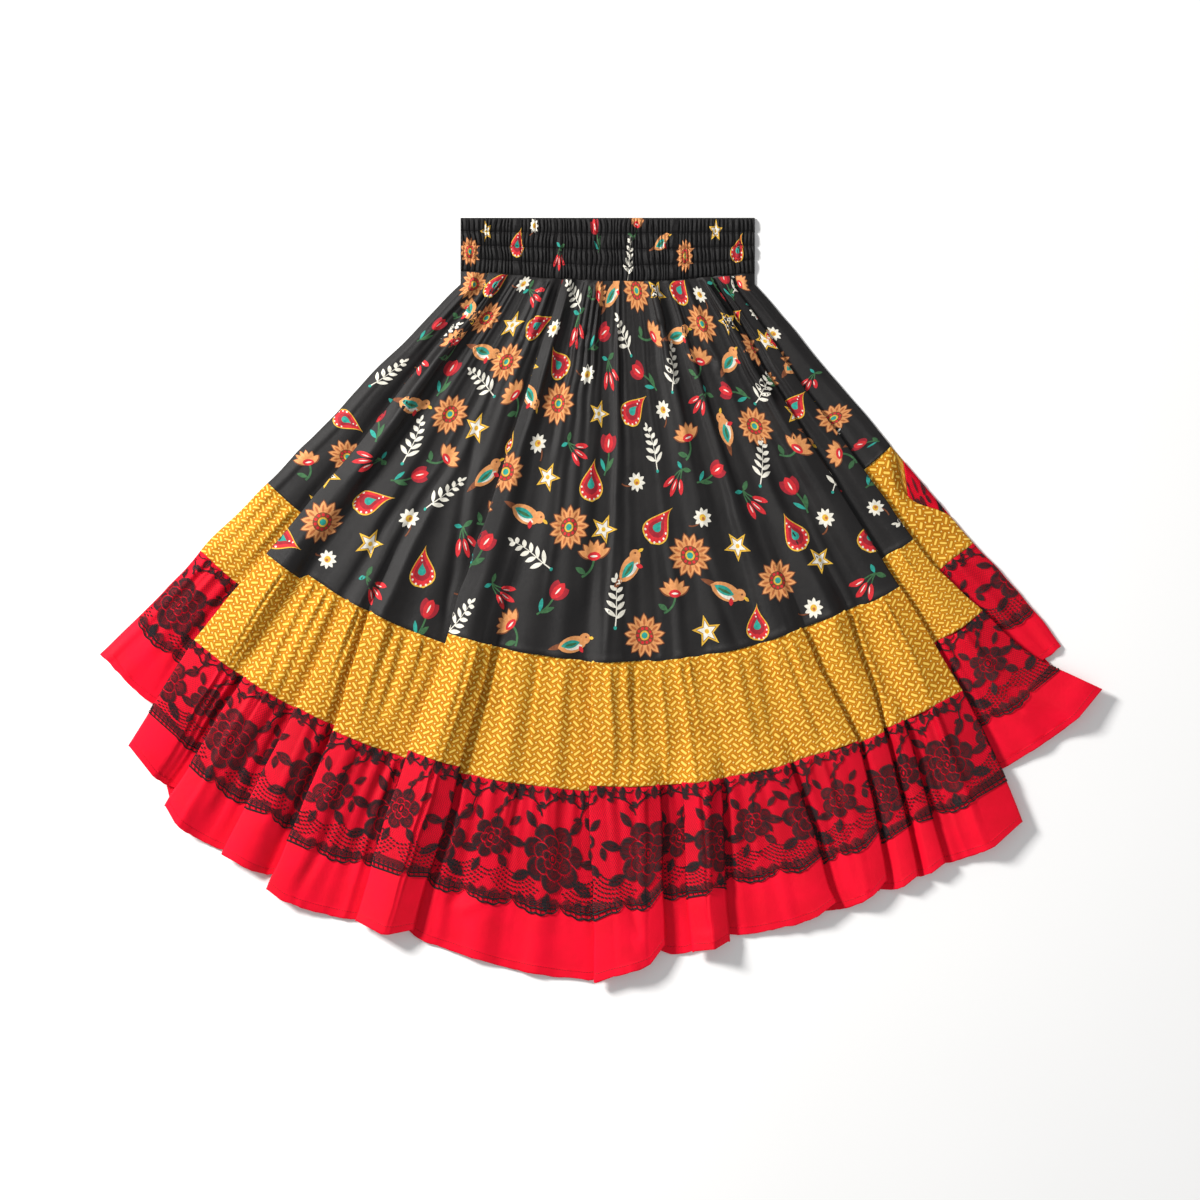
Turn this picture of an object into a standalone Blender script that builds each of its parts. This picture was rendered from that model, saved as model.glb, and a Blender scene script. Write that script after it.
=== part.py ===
"""A tiered ruffle skirt laid flat on a surface, front up.

A shirred elastic waistband carries a gathered upper tier. A gathered middle tier is sewn to the
upper one, and a gathered lower tier, with a scalloped lace flounce over it, to the middle one.
X runs across the skirt, +Y from the hem to the waist, Z up from the surface. Units are metres.
"""

import math
from collections import namedtuple

import bpy
import numpy as np

# Cloth.
CLOTH = 0.0012  # thickness of the cotton
LACE = 0.0010  # thickness of the lace
GAP = 0.0003  # between two pieces that are sewn together or lie on each other

# The skirt spreads as a fan. Its fold lines meet at the apex, above the waistband, and angles are
# measured there, from straight down the skirt, positive to the right.
APEX_X = 0.0199
APEX_Y = 0.5530
LEFT_SIDE = math.radians(-44.1)
RIGHT_SIDE = math.radians(40.3)
WAIST_RADIUS = 0.184  # apex to the waist seam, straight down
WAIST_RISE = 0.009  # how much higher the waist seam is at the sides

# A level is a place down the skirt: 0 is the waist seam, 1 the upper seam, 2 the lower seam, 3 the hem.
LEVELS = (0, 1, 2, 3)
RADII = (0.200, 0.628, 0.774, 0.986)  # apex to those levels on the middle of the front
LACE_END = 2.63  # level of the valleys of the lace's edge
SCALLOP_WIDTH = 0.058
SCALLOP_DEPTH = 0.05  # in levels
SCALLOP_LIFT = 0.0003  # how much further from the cloth the lace is along its edge
SCALLOP_START = 0.15  # share of that depth between the valleys and the line that they are drawn from

# Waistband.
BAND_WIDTH = 0.340
BAND_CENTRE_X = 0.0083
BAND_TOP = 0.4431
BAND_CHANNELS = 4  # rows of elastic
BAND_PUCKERS = 36
BAND_BASE = 0.0015  # thickness of the band under its puckers
PUCKER_HEIGHT = 0.0014
PUCKER_BETWEEN = 0.45  # share of that height on the stitched lines between the channels
CHANNEL_HEIGHT = 0.0012

# Folds.
GROUND = 0.0034  # height of the front's middle surface where it lies on the back
EDGE_RADII = (0.0009, 0.0011, 0.0014, 0.0018)  # of the bend at a fold's edge, at the levels
MARGIN_ANGLE = 0.0032  # least width, seen from the apex, between two columns beside a fold
TUCK_RADII = (0.0010, 0.0028, 0.0030, 0.0032)  # of the bend under a flap, round the right side
FIRST_DEPTH = 0.004  # how far the cloth is tucked under where a fold begins
PLAIN_ANGLE = 0.010  # width, seen from the apex, of the step that leads to a fold from the tier above
PLAIN_REACH = 0.40  # levels over which that step grows
RISE = 0.045  # width over which a flap rises from the ground
CALM = 0.014  # width beside a fold's edge where the soft waves die out
SIDE_ROLL = 0.0020  # height of the soft roll along the side folds
SIDE_ROLL_WIDTH = 0.016
SIDE_DROP_REACH = 0.020  # length over which the sides drop to where the back has no lace
HEM_CURL = 0.010  # how much the hem rises at the corner of a formed flap
HEM_CURL_WIDTH = 0.016

# The front's flaps, from left to right. "over" means that the flap's right-hand edge lies over the
# next flap, and "under" that the next one lies over it. The edge's angle, in degrees, is given where
# the middle of the front has its upper seam, lower seam and hem. The fold begins at the seam above the
# tier "first", and depth is how far the cloth is tucked under in the end. lift is how much nearer the
# apex the flap's own seams are than those of the middle, and its hem, at its left and right.
Flap = namedtuple(
    "Flap", "edge at_upper at_lower at_hem depth first lift_upper lift_lower lift_left lift_right"
)
FLAPS = (
    Flap("under", -38.9, -39.3, -37.8, 0.036, 0, 0.044, 0.080, 0.125, 0.120),
    Flap("under", -34.6, -34.2, -33.4, 0.012, 2, -0.018, -0.002, 0.058, 0.050),
    Flap("under", -29.6, -28.8, -28.5, 0.012, 1, -0.009, -0.002, 0.024, 0.018),
    Flap("under", -27.1, -25.1, -24.6, 0.010, 1, -0.009, 0.000, 0.010, 0.024),
    Flap("under", -18.4, -18.4, -18.2, 0.024, 0, -0.009, -0.006, -0.003, 0.010),
    Flap("over", -13.4, -13.7, -14.3, 0.012, 1, 0.003, 0.004, 0.001, 0.009),
    Flap("under", -2.6, -2.3, -1.5, 0.012, 1, 0.003, -0.004, 0.012, -0.016),
    Flap("over", 3.6, 3.6, 3.3, 0.009, 2, 0.003, 0.003, -0.020, 0.021),
    Flap("under", 5.6, 5.5, 5.1, 0.009, 2, 0.001, 0.003, 0.017, 0.013),
    Flap("over", 8.8, 8.8, 7.6, 0.009, 2, 0.001, 0.003, 0.011, 0.017),
    Flap("over", 15.5, 15.0, 15.9, 0.016, 2, 0.002, 0.003, 0.027, 0.036),
    Flap("over", 20.0, 21.3, 19.2, 0.010, 1, 0.002, 0.003, 0.030, 0.044),
    Flap("over", 24.9, 23.6, 21.4, 0.009, 1, 0.002, 0.000, 0.036, 0.036),
    Flap("over", 26.9, 25.5, 23.5, 0.009, 2, 0.002, 0.003, 0.039, 0.036),
    Flap("over", 31.2, 31.4, 29.8, 0.034, 0, 0.000, 0.003, 0.041, 0.036),
    Flap("over", 35.4, 37.6, 43.4, 0.034, 0, 0.037, 0.066, 0.111, 0.112),
    Flap("seam", 40.3, 40.3, 40.3, 0.000, 9, 0.134, 0.136, 0.190, 0.190),
)
NOTCH_DEPTH = math.radians(2.5)  # the right side fold bends in here, and the back shows past it
NOTCH_RADIUS = 0.547
NOTCH_REACH = 0.055

# Soft folds that do not turn under. The angle is given at the waist and at the hem, and the height
# at the waist, the upper seam, the lower seam and the hem.
Ridge = namedtuple("Ridge", "at_waist at_hem width h_waist h_upper h_lower h_hem")
RIDGE_WAIST_SHARE = 0.35  # share of their width that the soft folds have at the waist
RIDGES = (
    Ridge(-41.0, -42.0, 0.020, 0.0030, 0.0032, 0.0036, 0.0030),
    Ridge(-36.5, -35.6, 0.017, 0.0034, 0.0058, 0.0032, 0.0030),
    Ridge(-31.0, -31.6, 0.018, 0.0022, 0.0034, 0.0036, 0.0040),
    Ridge(-26.5, -26.4, 0.016, 0.0036, 0.0060, 0.0036, 0.0018),
    Ridge(-21.5, -21.8, 0.021, 0.0028, 0.0040, 0.0038, 0.0044),
    Ridge(-15.8, -16.2, 0.015, 0.0038, 0.0052, 0.0034, 0.0030),
    Ridge(-10.2, -9.6, 0.020, 0.0026, 0.0034, 0.0040, 0.0046),
    Ridge(-6.2, -5.6, 0.016, 0.0034, 0.0048, 0.0036, 0.0038),
    Ridge(0.6, 1.0, 0.018, 0.0030, 0.0036, 0.0034, 0.0040),
    Ridge(6.4, 6.4, 0.014, 0.0026, 0.0040, 0.0032, 0.0026),
    Ridge(11.6, 11.8, 0.021, 0.0034, 0.0046, 0.0038, 0.0048),
    Ridge(17.2, 17.6, 0.016, 0.0032, 0.0050, 0.0036, 0.0034),
    Ridge(22.8, 24.6, 0.016, 0.0038, 0.0054, 0.0032, 0.0024),
    Ridge(28.2, 27.0, 0.019, 0.0032, 0.0042, 0.0040, 0.0044),
    Ridge(34.0, 34.0, 0.018, 0.0036, 0.0044, 0.0040, 0.0042),
    Ridge(38.4, 37.6, 0.015, 0.0030, 0.0030, 0.0030, 0.0032),
)

# Gathers stand below each seam. They rise within a short way of it and fade down the tier.
Gathers = namedtuple("Gathers", "seam height rise fade")
GATHERS = (
    Gathers(0, 0.0026, 0.04, 0.34),
    Gathers(1, 0.0020, 0.13, 0.75),
    Gathers(2, 0.0022, 0.10, 0.62),
)
GATHERS_PER_DEGREE = 0.53  # seen from the apex

# How much nearer the apex the back's seams and hem are. It shows only past the sides of the front.
BACK_ANGLES = (-44.1, -38.6, -33.0, 23.0, 28.6, 36.0, 40.3)
BACK_LIFT_UPPER = (0.044, 0.044, 0.010, 0.010, 0.055, 0.120, 0.165)
BACK_LIFT_LOWER = (0.080, 0.080, 0.012, 0.012, 0.100, 0.195, 0.260)
BACK_LIFT_HEM = (0.128, 0.122, 0.034, 0.055, 0.140, 0.265, 0.360)

# Rows and columns of the solids.
PER_GATHER = 2  # columns for each gather
ARC_STEPS = 2  # steps round each bend of a fold
SECTIONS = 121  # cross-sections that the rows are read from
ON_FLAP = 0.999  # a place on a flap is its number plus up to this much, and a fold takes the rest
LACE_TIP = LACE_END + SCALLOP_DEPTH
UPPER_ROWS = (0.0, 0.06, 0.25, 0.60, 1.0)
MIDDLE_ROWS = (1.0, 1.16, 1.55, 2.0)
LOWER_ROWS = (2.0, 2.12, LACE_END, 3.0)
BACK_COLUMNS = 24
SEAM_SHARE = 0.0012  # how far, in levels, the back's tiers end from their seams
BACK_STEP = (0.01, 0.06)  # levels past the lace's tips between which the back drops to the ground
SHARP_ANGLE = math.radians(50)  # edges that are sharper than this are not shaded smooth

# Base colour and roughness.
COLOURS = {
    "black": ((0.018, 0.017, 0.018, 1.0), 0.75),
    "gold": ((0.55, 0.30, 0.035, 1.0), 0.80),
    "red": ((0.75, 0.012, 0.035, 1.0), 0.78),
    "lace": ((0.015, 0.013, 0.015, 1.0), 0.85),
}


def smooth(t):
    """0 below 0, 1 above 1, and a smooth step between."""
    t = np.clip(t, 0.0, 1.0)
    return t * t * (3 - 2 * t)


def tuck(flap, level, arc_steps):
    """The cloth's path round a fold: the flap's edge, back under the flap, and out again.

    Returns the distance past the fold's edge and the height, from the flap's top to the ground.
    """
    edge_radius = float(np.interp(level, LEVELS, EDGE_RADII))
    tuck_radius = float(np.interp(level, LEVELS, TUCK_RADII))
    grown = smooth((level - flap.first) / (LEVELS[-1] - flap.first))
    depth = FIRST_DEPTH + (flap.depth - FIRST_DEPTH) * float(grown)
    share = (np.arange(arc_steps) + 0.5) / arc_steps
    turning = math.pi * np.concatenate([share, [1], 1 - share])
    round_edge = np.full(arc_steps, math.pi * edge_radius / arc_steps)
    round_tuck = np.full(arc_steps, math.pi * tuck_radius / arc_steps)
    length = np.concatenate([round_edge, [depth], round_tuck])
    past = np.concatenate([[0], np.cumsum(length * np.cos(turning))])
    height = np.concatenate([[0], -np.cumsum(length * np.sin(turning))])
    return past - past.max(), height - height[-1]


def plain_step(flap, level, radius):
    """The step in the tier above a fold, where the cloth is not tucked under yet."""
    grown = float(smooth((level - flap.first + PLAIN_REACH) / PLAIN_REACH))
    top = 2 * (np.interp(level, LEVELS, EDGE_RADII) + np.interp(level, LEVELS, TUCK_RADII))
    return PLAIN_ANGLE * radius * np.array([-0.5, 0.5]), np.array([top * grown, 0.0]), grown


def fold_angle(flap, level):
    """The angle of a flap's right-hand edge at a level."""
    angles = (flap.at_upper, flap.at_upper, flap.at_lower, flap.at_hem)
    degrees = float(np.interp(level, LEVELS, angles))
    if flap.edge == "seam":
        radius = float(np.interp(level, LEVELS, RADII))
        bend = 1 - abs(radius - NOTCH_RADIUS) / NOTCH_REACH
        return math.radians(degrees) - NOTCH_DEPTH * float(smooth(bend))
    return math.radians(degrees)


def gathers_across(index):
    """How many gathers a flap has, the same at every level."""
    left = math.degrees(LEFT_SIDE) if index == 0 else FLAPS[index - 1].at_lower
    return max(1, round((FLAPS[index].at_lower - left) * GATHERS_PER_DEGREE))


def cross_section(level, tier_end, per_gather, arc_steps):
    """The folds across the front, where its middle has this level, from the left side to the right.

    Folds that begin at tier_end or below stay plain. Returns one row for each point: its angle, its
    height above the ground, the flap's number with the way to the next flap as a fraction, how much
    of the soft waves it takes, the height of a gather there, how near a formed flap's corner it is,
    and its way along the cloth from the left side and to the right side.
    """
    radius = float(np.interp(level, LEVELS, RADII))
    rows = []
    start, start_height, cover_left, formed_left, deep_left = radius * LEFT_SIDE, 0.0, None, 0.0, 0.0
    for index, flap in enumerate(FLAPS):
        edge = radius * fold_angle(flap, level)
        cover_right, formed_right, deep_right = None, 0.0, 0.0
        end, end_height = edge, 0.0
        if flap.edge != "seam":
            if flap.first < tier_end:
                past, tuck_height = tuck(flap, level, arc_steps)
                formed_right, between = 1.0, index + np.repeat([ON_FLAP, 1.0], arc_steps)
            else:
                past, tuck_height, formed_right = plain_step(flap, level, radius)
                between = np.array([])
            deep_right = np.ptp(past) * formed_right
            if flap.edge == "under":
                past, tuck_height = -past[::-1], tuck_height[::-1]
                cover_right = edge
            end, end_height = edge + past[0], tuck_height[0]
        low = start if cover_left is None else cover_left
        high = end if cover_right is None else cover_right
        top_right, top_left = end - deep_right, start + deep_left
        room = MARGIN_ANGLE * radius
        inner_left = max(low + room, top_left + room)
        inner_right = max(min(high - room, top_right - room), inner_left + room)
        waves_here = gathers_across(index)
        share = np.linspace(0, 1, waves_here * per_gather + 1)
        along = np.concatenate([[start], inner_left + (inner_right - inner_left) * share, [end]])
        share = np.concatenate([[0], share, [1]])
        rising = smooth((along - max(top_right - RISE, low)) / max(min(RISE, top_right - low), 1e-6))
        falling = 1 - smooth((along - top_left) / max(min(RISE, high - top_left), 1e-6))
        height = end_height * rising + start_height * falling
        waves = smooth((along - low) / CALM) * smooth((high - along) / CALM)
        gather = (0.5 - 0.5 * np.cos(2 * math.pi * share * waves_here)) * waves
        corner = formed_left * np.exp(-np.abs(along - start) / HEM_CURL_WIDTH)
        corner += formed_right * np.exp(-np.abs(end - along) / HEM_CURL_WIDTH)
        on_flap = index + ON_FLAP * (along - start) / (end - start)
        rows.append(np.column_stack([along, height, on_flap, waves, gather, corner]))
        if flap.edge != "seam":
            still = np.zeros(len(between))
            folded = [edge + past[1:-1], tuck_height[1:-1], between]
            rows.append(np.column_stack([*folded, still, still, still + formed_right]))
            start, start_height = edge + past[-1], tuck_height[-1]
            cover_left = edge if flap.edge == "over" else None
            deep_left = deep_right if flap.edge == "under" else 0.0
            formed_left = formed_right
    section = np.vstack(rows)
    along = section[:, 0].copy()
    section[:, 0] /= radius
    return np.column_stack([section, along - along[0], along[-1] - along])


def section_table(tier_end, per_gather, arc_steps):
    """The cross-sections of a tier at SECTIONS levels from the waist seam to the hem."""
    levels = np.linspace(LEVELS[0], LEVELS[-1], SECTIONS)
    return np.stack([cross_section(level, tier_end, per_gather, arc_steps) for level in levels])


def ridges_height(angle, level, radius):
    """Height of the soft folds at some angles on a level, at the points' own radii."""
    degrees = np.degrees(angle)
    height = np.zeros_like(degrees)
    for ridge in RIDGES:
        centre = ridge.at_waist + (ridge.at_hem - ridge.at_waist) * level / LEVELS[-1]
        heights = (ridge.h_waist, ridge.h_upper, ridge.h_lower, ridge.h_hem)
        tall = float(np.interp(level, LEVELS, heights))
        width = ridge.width * (RIDGE_WAIST_SHARE + (1 - RIDGE_WAIST_SHARE) * min(level, 1))
        away = np.radians(degrees - centre) * radius / width
        height += tall * np.exp(-away * away)
    return height


def gathers_height(level):
    """Height of the gathers on a level."""
    for gathers in GATHERS:
        below = level - gathers.seam
        if 0 <= below < 1:
            risen = float(smooth(below / gathers.rise))
            return gathers.height * risen * math.exp(-((below / gathers.fade) ** 2))
    return 0.0


def fan_radius(angle, level, lifts):
    """Distance from the apex of places on the fan. lifts are those at the two seams and the hem."""
    waist = (WAIST_RADIUS - WAIST_RISE * (angle / RIGHT_SIDE) ** 2) / np.cos(angle)
    upper, lower, hem = (RADII[i + 1] - lifts[i] for i in range(3))
    first_tier = waist + (RADII[1] - waist) * level - lifts[0] * np.minimum(level, 1) ** 2
    second_tier = upper + (lower - upper) * (level - 1)
    third_tier = lower + (hem - lower) * (level - 2)
    return np.where(level <= 1, first_tier, np.where(level <= 2, second_tier, third_tier))


def on_fan(radius, angle, height):
    """Points at distances and angles from the apex."""
    return np.column_stack([APEX_X + radius * np.sin(angle), APEX_Y - radius * np.cos(angle), height])


def lifts_at(place):
    """The lifts at the upper seam, the lower seam and the hem, at places counted in flaps."""
    flap_ends = [end for index in range(len(FLAPS)) for end in (index, index + ON_FLAP)]
    upper = [flap.lift_upper for flap in FLAPS for _ in range(2)]
    lower = [flap.lift_lower for flap in FLAPS for _ in range(2)]
    hem = [lift for flap in FLAPS for lift in (flap.lift_left, flap.lift_right)]
    return [np.interp(place, flap_ends, table) for table in (upper, lower, hem)]


def front_row(level, table):
    """Points of the front's middle surface along one level of the cloth."""
    place = table[0, :, 2]
    columns = np.arange(len(place))
    lifts = lifts_at(place)
    middle_angle = table[SECTIONS // 2, :, 0]
    radius = fan_radius(middle_angle, np.full(len(place), float(level)), lifts)
    below = np.interp(radius, RADII, LEVELS) / LEVELS[-1] * (SECTIONS - 1)
    first = np.minimum(below.astype(int), SECTIONS - 2)
    rest = (below - first)[:, None]
    section = table[first, columns] * (1 - rest) + table[first + 1, columns] * rest
    angle, height, _, waves, gather, corner, from_left, to_right = section.T
    height = height + waves * ridges_height(angle, level, radius) + gather * gathers_height(level)
    height += side_height(from_left, to_right, radius)
    radius = fan_radius(angle, np.full(len(place), float(level)), lifts)
    radius -= HEM_CURL * corner * max(0.0, level - 2)
    return on_fan(radius, angle, GROUND + height)


def side_height(from_left, to_right, radius):
    """The roll along the two side folds, and their drop to where the back is thin."""
    height = np.zeros_like(radius)
    sides = ((from_left, RADII[2] - BACK_LIFT_LOWER[0]), (to_right, RADII[2] - BACK_LIFT_LOWER[-1]))
    for away, thick_from in sides:
        thin = 1 - smooth((radius - thick_from + SIDE_DROP_REACH) / SIDE_DROP_REACH)
        near = 1 - smooth(away / SIDE_ROLL_WIDTH)
        roll = 4 * near * (1 - near)
        height += SIDE_ROLL * roll - (LACE + GAP) * thin * near
    return height


def offsets_of(grid):
    """Steps out of the cloth's right side, for a wall that stays even round its bends."""
    away = grid[:, :, :2] - np.array([APEX_X, APEX_Y])
    down = np.zeros_like(grid)
    down[:, :, :2] = away / np.linalg.norm(away, axis=2, keepdims=True)
    along = np.diff(grid, axis=1)
    flat = np.cross((down[:, 1:] + down[:, :-1]) / 2, along)
    flat /= np.linalg.norm(flat, axis=2, keepdims=True)
    before = np.concatenate([flat[:, :1], flat], axis=1)
    after = np.concatenate([flat, flat[:, -1:]], axis=1)
    both = before + after
    return both / np.maximum(np.sum(both * before, axis=2, keepdims=True), 0.5)


def grid_faces(index):
    """Two triangles for each cell of a grid of point numbers."""
    faces = []
    for row in range(index.shape[0] - 1):
        for column in range(index.shape[1] - 1):
            a, b = index[row, column], index[row, column + 1]
            c, d = index[row + 1, column + 1], index[row + 1, column]
            faces += [(a, d, b), (b, d, c)]
    return faces


def rim_faces(upper, lower):
    """A closed band of triangles between two rings of point numbers."""
    faces = []
    for i in range(len(upper)):
        a, b = upper[i], upper[(i + 1) % len(upper)]
        c, d = lower[(i + 1) % len(upper)], lower[i]
        faces += [(a, b, c), (a, c, d)]
    return faces


def slab(name, outer, inner, colour):
    """A closed solid between two grids of points of the same shape."""
    rows, columns = outer.shape[:2]
    count = rows * columns
    index = np.arange(count).reshape(rows, columns)
    faces = grid_faces(index)
    faces += [tuple(count + i for i in reversed(face)) for face in faces]
    rim = [*index[0, :], *index[1:, -1], *index[-1, -2::-1], *index[-2:0:-1, 0]]
    faces += rim_faces(rim, [count + i for i in rim])
    add_object(name, np.concatenate([outer.reshape(-1, 3), inner.reshape(-1, 3)]), faces, colour)


def add_object(name, points, faces, colour):
    """A mesh object with its own material."""
    mesh = bpy.data.meshes.new(name)
    mesh.from_pydata([tuple(map(float, p)) for p in points], [], [tuple(map(int, f)) for f in faces])
    mesh.update()
    mesh.shade_smooth()
    mesh.set_sharp_from_angle(angle=SHARP_ANGLE)
    mesh.materials.append(cloth_material(name, *COLOURS[colour]))
    thing = bpy.data.objects.new(name, mesh)
    bpy.context.scene.collection.objects.link(thing)
    return thing


def cloth_material(name, colour, roughness):
    """A plain cloth finish."""
    material = bpy.data.materials.new(name)
    material.use_nodes = True
    shader = material.node_tree.nodes["Principled BSDF"]
    shader.inputs["Base Color"].default_value = colour
    shader.inputs["Roughness"].default_value = roughness
    shader.inputs["Metallic"].default_value = 0.0
    return material


def down_the_cloth(row, out):
    """Unit steps in the cloth, square to a row of its points, toward the hem."""
    steps = np.diff(row, axis=0)
    steps /= np.linalg.norm(steps, axis=1, keepdims=True)
    along = np.concatenate([steps[:1], steps]) + np.concatenate([steps, steps[-1:]])
    down = np.cross(along, out)
    return down / np.linalg.norm(down, axis=1, keepdims=True)


def front_grid(levels):
    """The middle surface of one tier of the front, half a gap short of its seams, and its offsets."""
    table = section_table(levels[-1], PER_GATHER, ARC_STEPS)
    grid = np.stack([front_row(level, table) for level in levels])
    out = offsets_of(grid)
    grid[0] += down_the_cloth(grid[0], out[0]) * GAP / 2
    if levels[-1] != LEVELS[-1]:
        grid[-1] -= down_the_cloth(grid[-1], out[-1]) * GAP / 2
    return grid, out


def make_front_tier(name, grid, out, colour):
    """One tier of the front, as a wall of even thickness."""
    slab(name, grid + out * CLOTH / 2, grid - out * CLOTH / 2, colour)


def scallops(row):
    """How far below the lace's valleys its edge reaches at each column, as a share of their depth."""
    steps = np.linalg.norm(np.diff(row, axis=0), axis=1)
    along_cloth = np.concatenate([[0], np.cumsum(steps)])
    return SCALLOP_START + (1 - SCALLOP_START) * np.abs(np.sin(math.pi * along_cloth / SCALLOP_WIDTH))


def make_lace_front(grid, out):
    """The lace flounce, over the lower tier and made from its points."""
    middle, way = grid.copy(), out.copy()
    reach = SCALLOP_DEPTH / (LEVELS[-1] - LACE_END) * scallops(middle[-2])[:, None]
    for points in (middle, way):
        points[-1] = points[-2] + (points[-1] - points[-2]) * reach
    near = np.full((len(middle), 1, 1), CLOTH / 2 + GAP)
    near[-1] += SCALLOP_LIFT
    slab("lace_front", middle + way * (near + LACE), middle + way * near, "lace")


def back_row(level, height):
    """Points of the flat back along one level, or along a level given for each column."""
    angle = np.linspace(LEFT_SIDE, RIGHT_SIDE, BACK_COLUMNS + 1)
    tables = (BACK_LIFT_UPPER, BACK_LIFT_LOWER, BACK_LIFT_HEM)
    lifts = [np.interp(np.degrees(angle), BACK_ANGLES, table) for table in tables]
    return on_fan(fan_radius(angle, level, lifts), angle, np.full_like(angle, height))


def make_back_tier(name, levels, heights, thickness, colour):
    """One tier of the back. It lies flat, right side down, and heights are those of its underside."""
    under = np.stack([back_row(level, low) for level, low in zip(levels, heights)])
    over = under + np.array([0, 0, thickness])
    slab(name, over, under, colour)


def make_lace_back():
    """The back's lace, under the lower tier and flat on the surface."""
    angle = np.linspace(LEFT_SIDE, RIGHT_SIDE, BACK_COLUMNS + 1)
    wide = SCALLOP_WIDTH / (RADII[2] + (RADII[3] - RADII[2]) * (LACE_END - 2))
    edge = LACE_END + SCALLOP_DEPTH * np.abs(np.sin(math.pi * angle / (2 * wide)))
    under = np.stack([back_row(2.0 + SEAM_SHARE, 0.0), back_row(edge, 0.0)])
    slab("lace_back", under + np.array([0, 0, LACE]), under, "lace")


def waist_seam_y(x):
    """Y of the waist seam at some X."""
    down = WAIST_RADIUS
    for _ in range(4):
        angle = np.arctan2(x - APEX_X, down)
        down = WAIST_RADIUS - WAIST_RISE * (angle / RIGHT_SIDE) ** 2
    return APEX_Y - down


def make_waistband_front():
    """The shirred front of the waistband: puckers and channels raised over a plain inside."""
    columns = BAND_PUCKERS * 2
    rows = BAND_CHANNELS * 2
    across = np.linspace(0, 1, columns + 1)
    x = BAND_CENTRE_X + BAND_WIDTH * (across - 0.5)
    bottom = waist_seam_y(x) + GAP / 2
    points = []
    for row in range(rows + 1):
        in_channel = row % 2
        pucker = (np.arange(columns + 1) + row // 2) % 2
        share = 1.0 if in_channel else PUCKER_BETWEEN
        high = CHANNEL_HEIGHT * in_channel + PUCKER_HEIGHT * pucker * share
        y = BAND_TOP + (bottom - BAND_TOP) * row / rows
        points.append(np.column_stack([x, y, CLOTH + GAP + BAND_BASE + high]))
    outer = np.stack(points)
    index = np.arange(outer.shape[0] * outer.shape[1]).reshape(outer.shape[:2])
    rim = [*index[0, :], *index[1:, -1], *index[-1, -2::-1], *index[-2:0:-1, 0]]
    base = outer.reshape(-1, 3)[rim].copy()
    base[:, 2] = CLOTH + GAP
    under = [index.size + i for i in range(len(rim))]
    faces = grid_faces(index) + rim_faces(rim, under) + [tuple(under)]
    add_object("waistband_front", np.concatenate([outer.reshape(-1, 3), base]), faces, "black")


def make_waistband_back():
    """The back of the waistband, flat on the surface."""
    x = BAND_CENTRE_X + BAND_WIDTH * (np.linspace(0, 1, BACK_COLUMNS + 1) - 0.5)
    rows = []
    for y in (np.full_like(x, BAND_TOP), waist_seam_y(x) + GAP / 2):
        rows.append(np.column_stack([x, y, np.zeros_like(x)]))
    under = np.stack(rows)
    slab("waistband_back", under + np.array([0, 0, CLOTH]), under, "black")


def clear_scene():
    """Removes whatever the scene holds at the start."""
    for thing in list(bpy.data.objects):
        bpy.data.objects.remove(thing)


def main():
    clear_scene()
    make_waistband_front()
    make_waistband_back()
    make_front_tier("upper_tier_front", *front_grid(UPPER_ROWS), "black")
    make_front_tier("middle_tier_front", *front_grid(MIDDLE_ROWS), "gold")
    lower = front_grid(LOWER_ROWS)
    make_front_tier("lower_tier_front", *lower, "red")
    make_lace_front(*lower)
    make_back_tier("upper_tier_back", (SEAM_SHARE, 0.5, 1 - SEAM_SHARE), (0, 0, 0), CLOTH, "black")
    make_back_tier("middle_tier_back", (1 + SEAM_SHARE, 2 - SEAM_SHARE), (0, 0), CLOTH, "gold")
    on_lace = LACE + GAP
    lower_levels = (2 + SEAM_SHARE, *(LACE_TIP + past for past in BACK_STEP), LEVELS[-1])
    make_back_tier("lower_tier_back", lower_levels, (on_lace, on_lace, 0, 0), CLOTH, "red")
    make_lace_back()


main()
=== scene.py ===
"""The finished look of a tiered ruffle skirt that lies flat, front up.

Each solid is dressed in thin, finely gathered cloth of the same form. The print, the lace, the cords
and the stitches are small flat shapes that are laid on that cloth in the cloth's own distances.
X runs across the skirt, +Y from the hem to the waist, Z up from the floor. Units are metres.
"""

import itertools
import math
from collections import namedtuple

import bpy
import numpy as np
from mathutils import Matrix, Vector
from mathutils.geometry import delaunay_2d_cdt


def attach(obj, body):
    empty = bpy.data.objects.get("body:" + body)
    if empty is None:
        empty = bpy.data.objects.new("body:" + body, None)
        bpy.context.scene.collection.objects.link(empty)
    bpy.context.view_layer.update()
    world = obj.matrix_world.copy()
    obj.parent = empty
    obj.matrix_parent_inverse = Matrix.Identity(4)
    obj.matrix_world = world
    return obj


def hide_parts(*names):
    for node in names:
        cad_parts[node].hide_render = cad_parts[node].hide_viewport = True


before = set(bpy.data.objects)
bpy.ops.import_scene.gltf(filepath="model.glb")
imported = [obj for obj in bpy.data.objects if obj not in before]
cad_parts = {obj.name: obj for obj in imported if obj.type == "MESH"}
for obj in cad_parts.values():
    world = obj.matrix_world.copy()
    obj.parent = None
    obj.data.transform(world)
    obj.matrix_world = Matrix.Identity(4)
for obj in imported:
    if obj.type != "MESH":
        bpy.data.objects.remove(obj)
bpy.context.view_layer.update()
MM = 0.001
TINY = 1e-6  # keeps a length that is divided by from being nothing

# Cloth.
CLOTH = 0.0012  # thickness of a cotton wall in the solids
LACE = 0.0010  # thickness of a lace wall
GAP = 0.0003  # between two pieces in the solids

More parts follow.
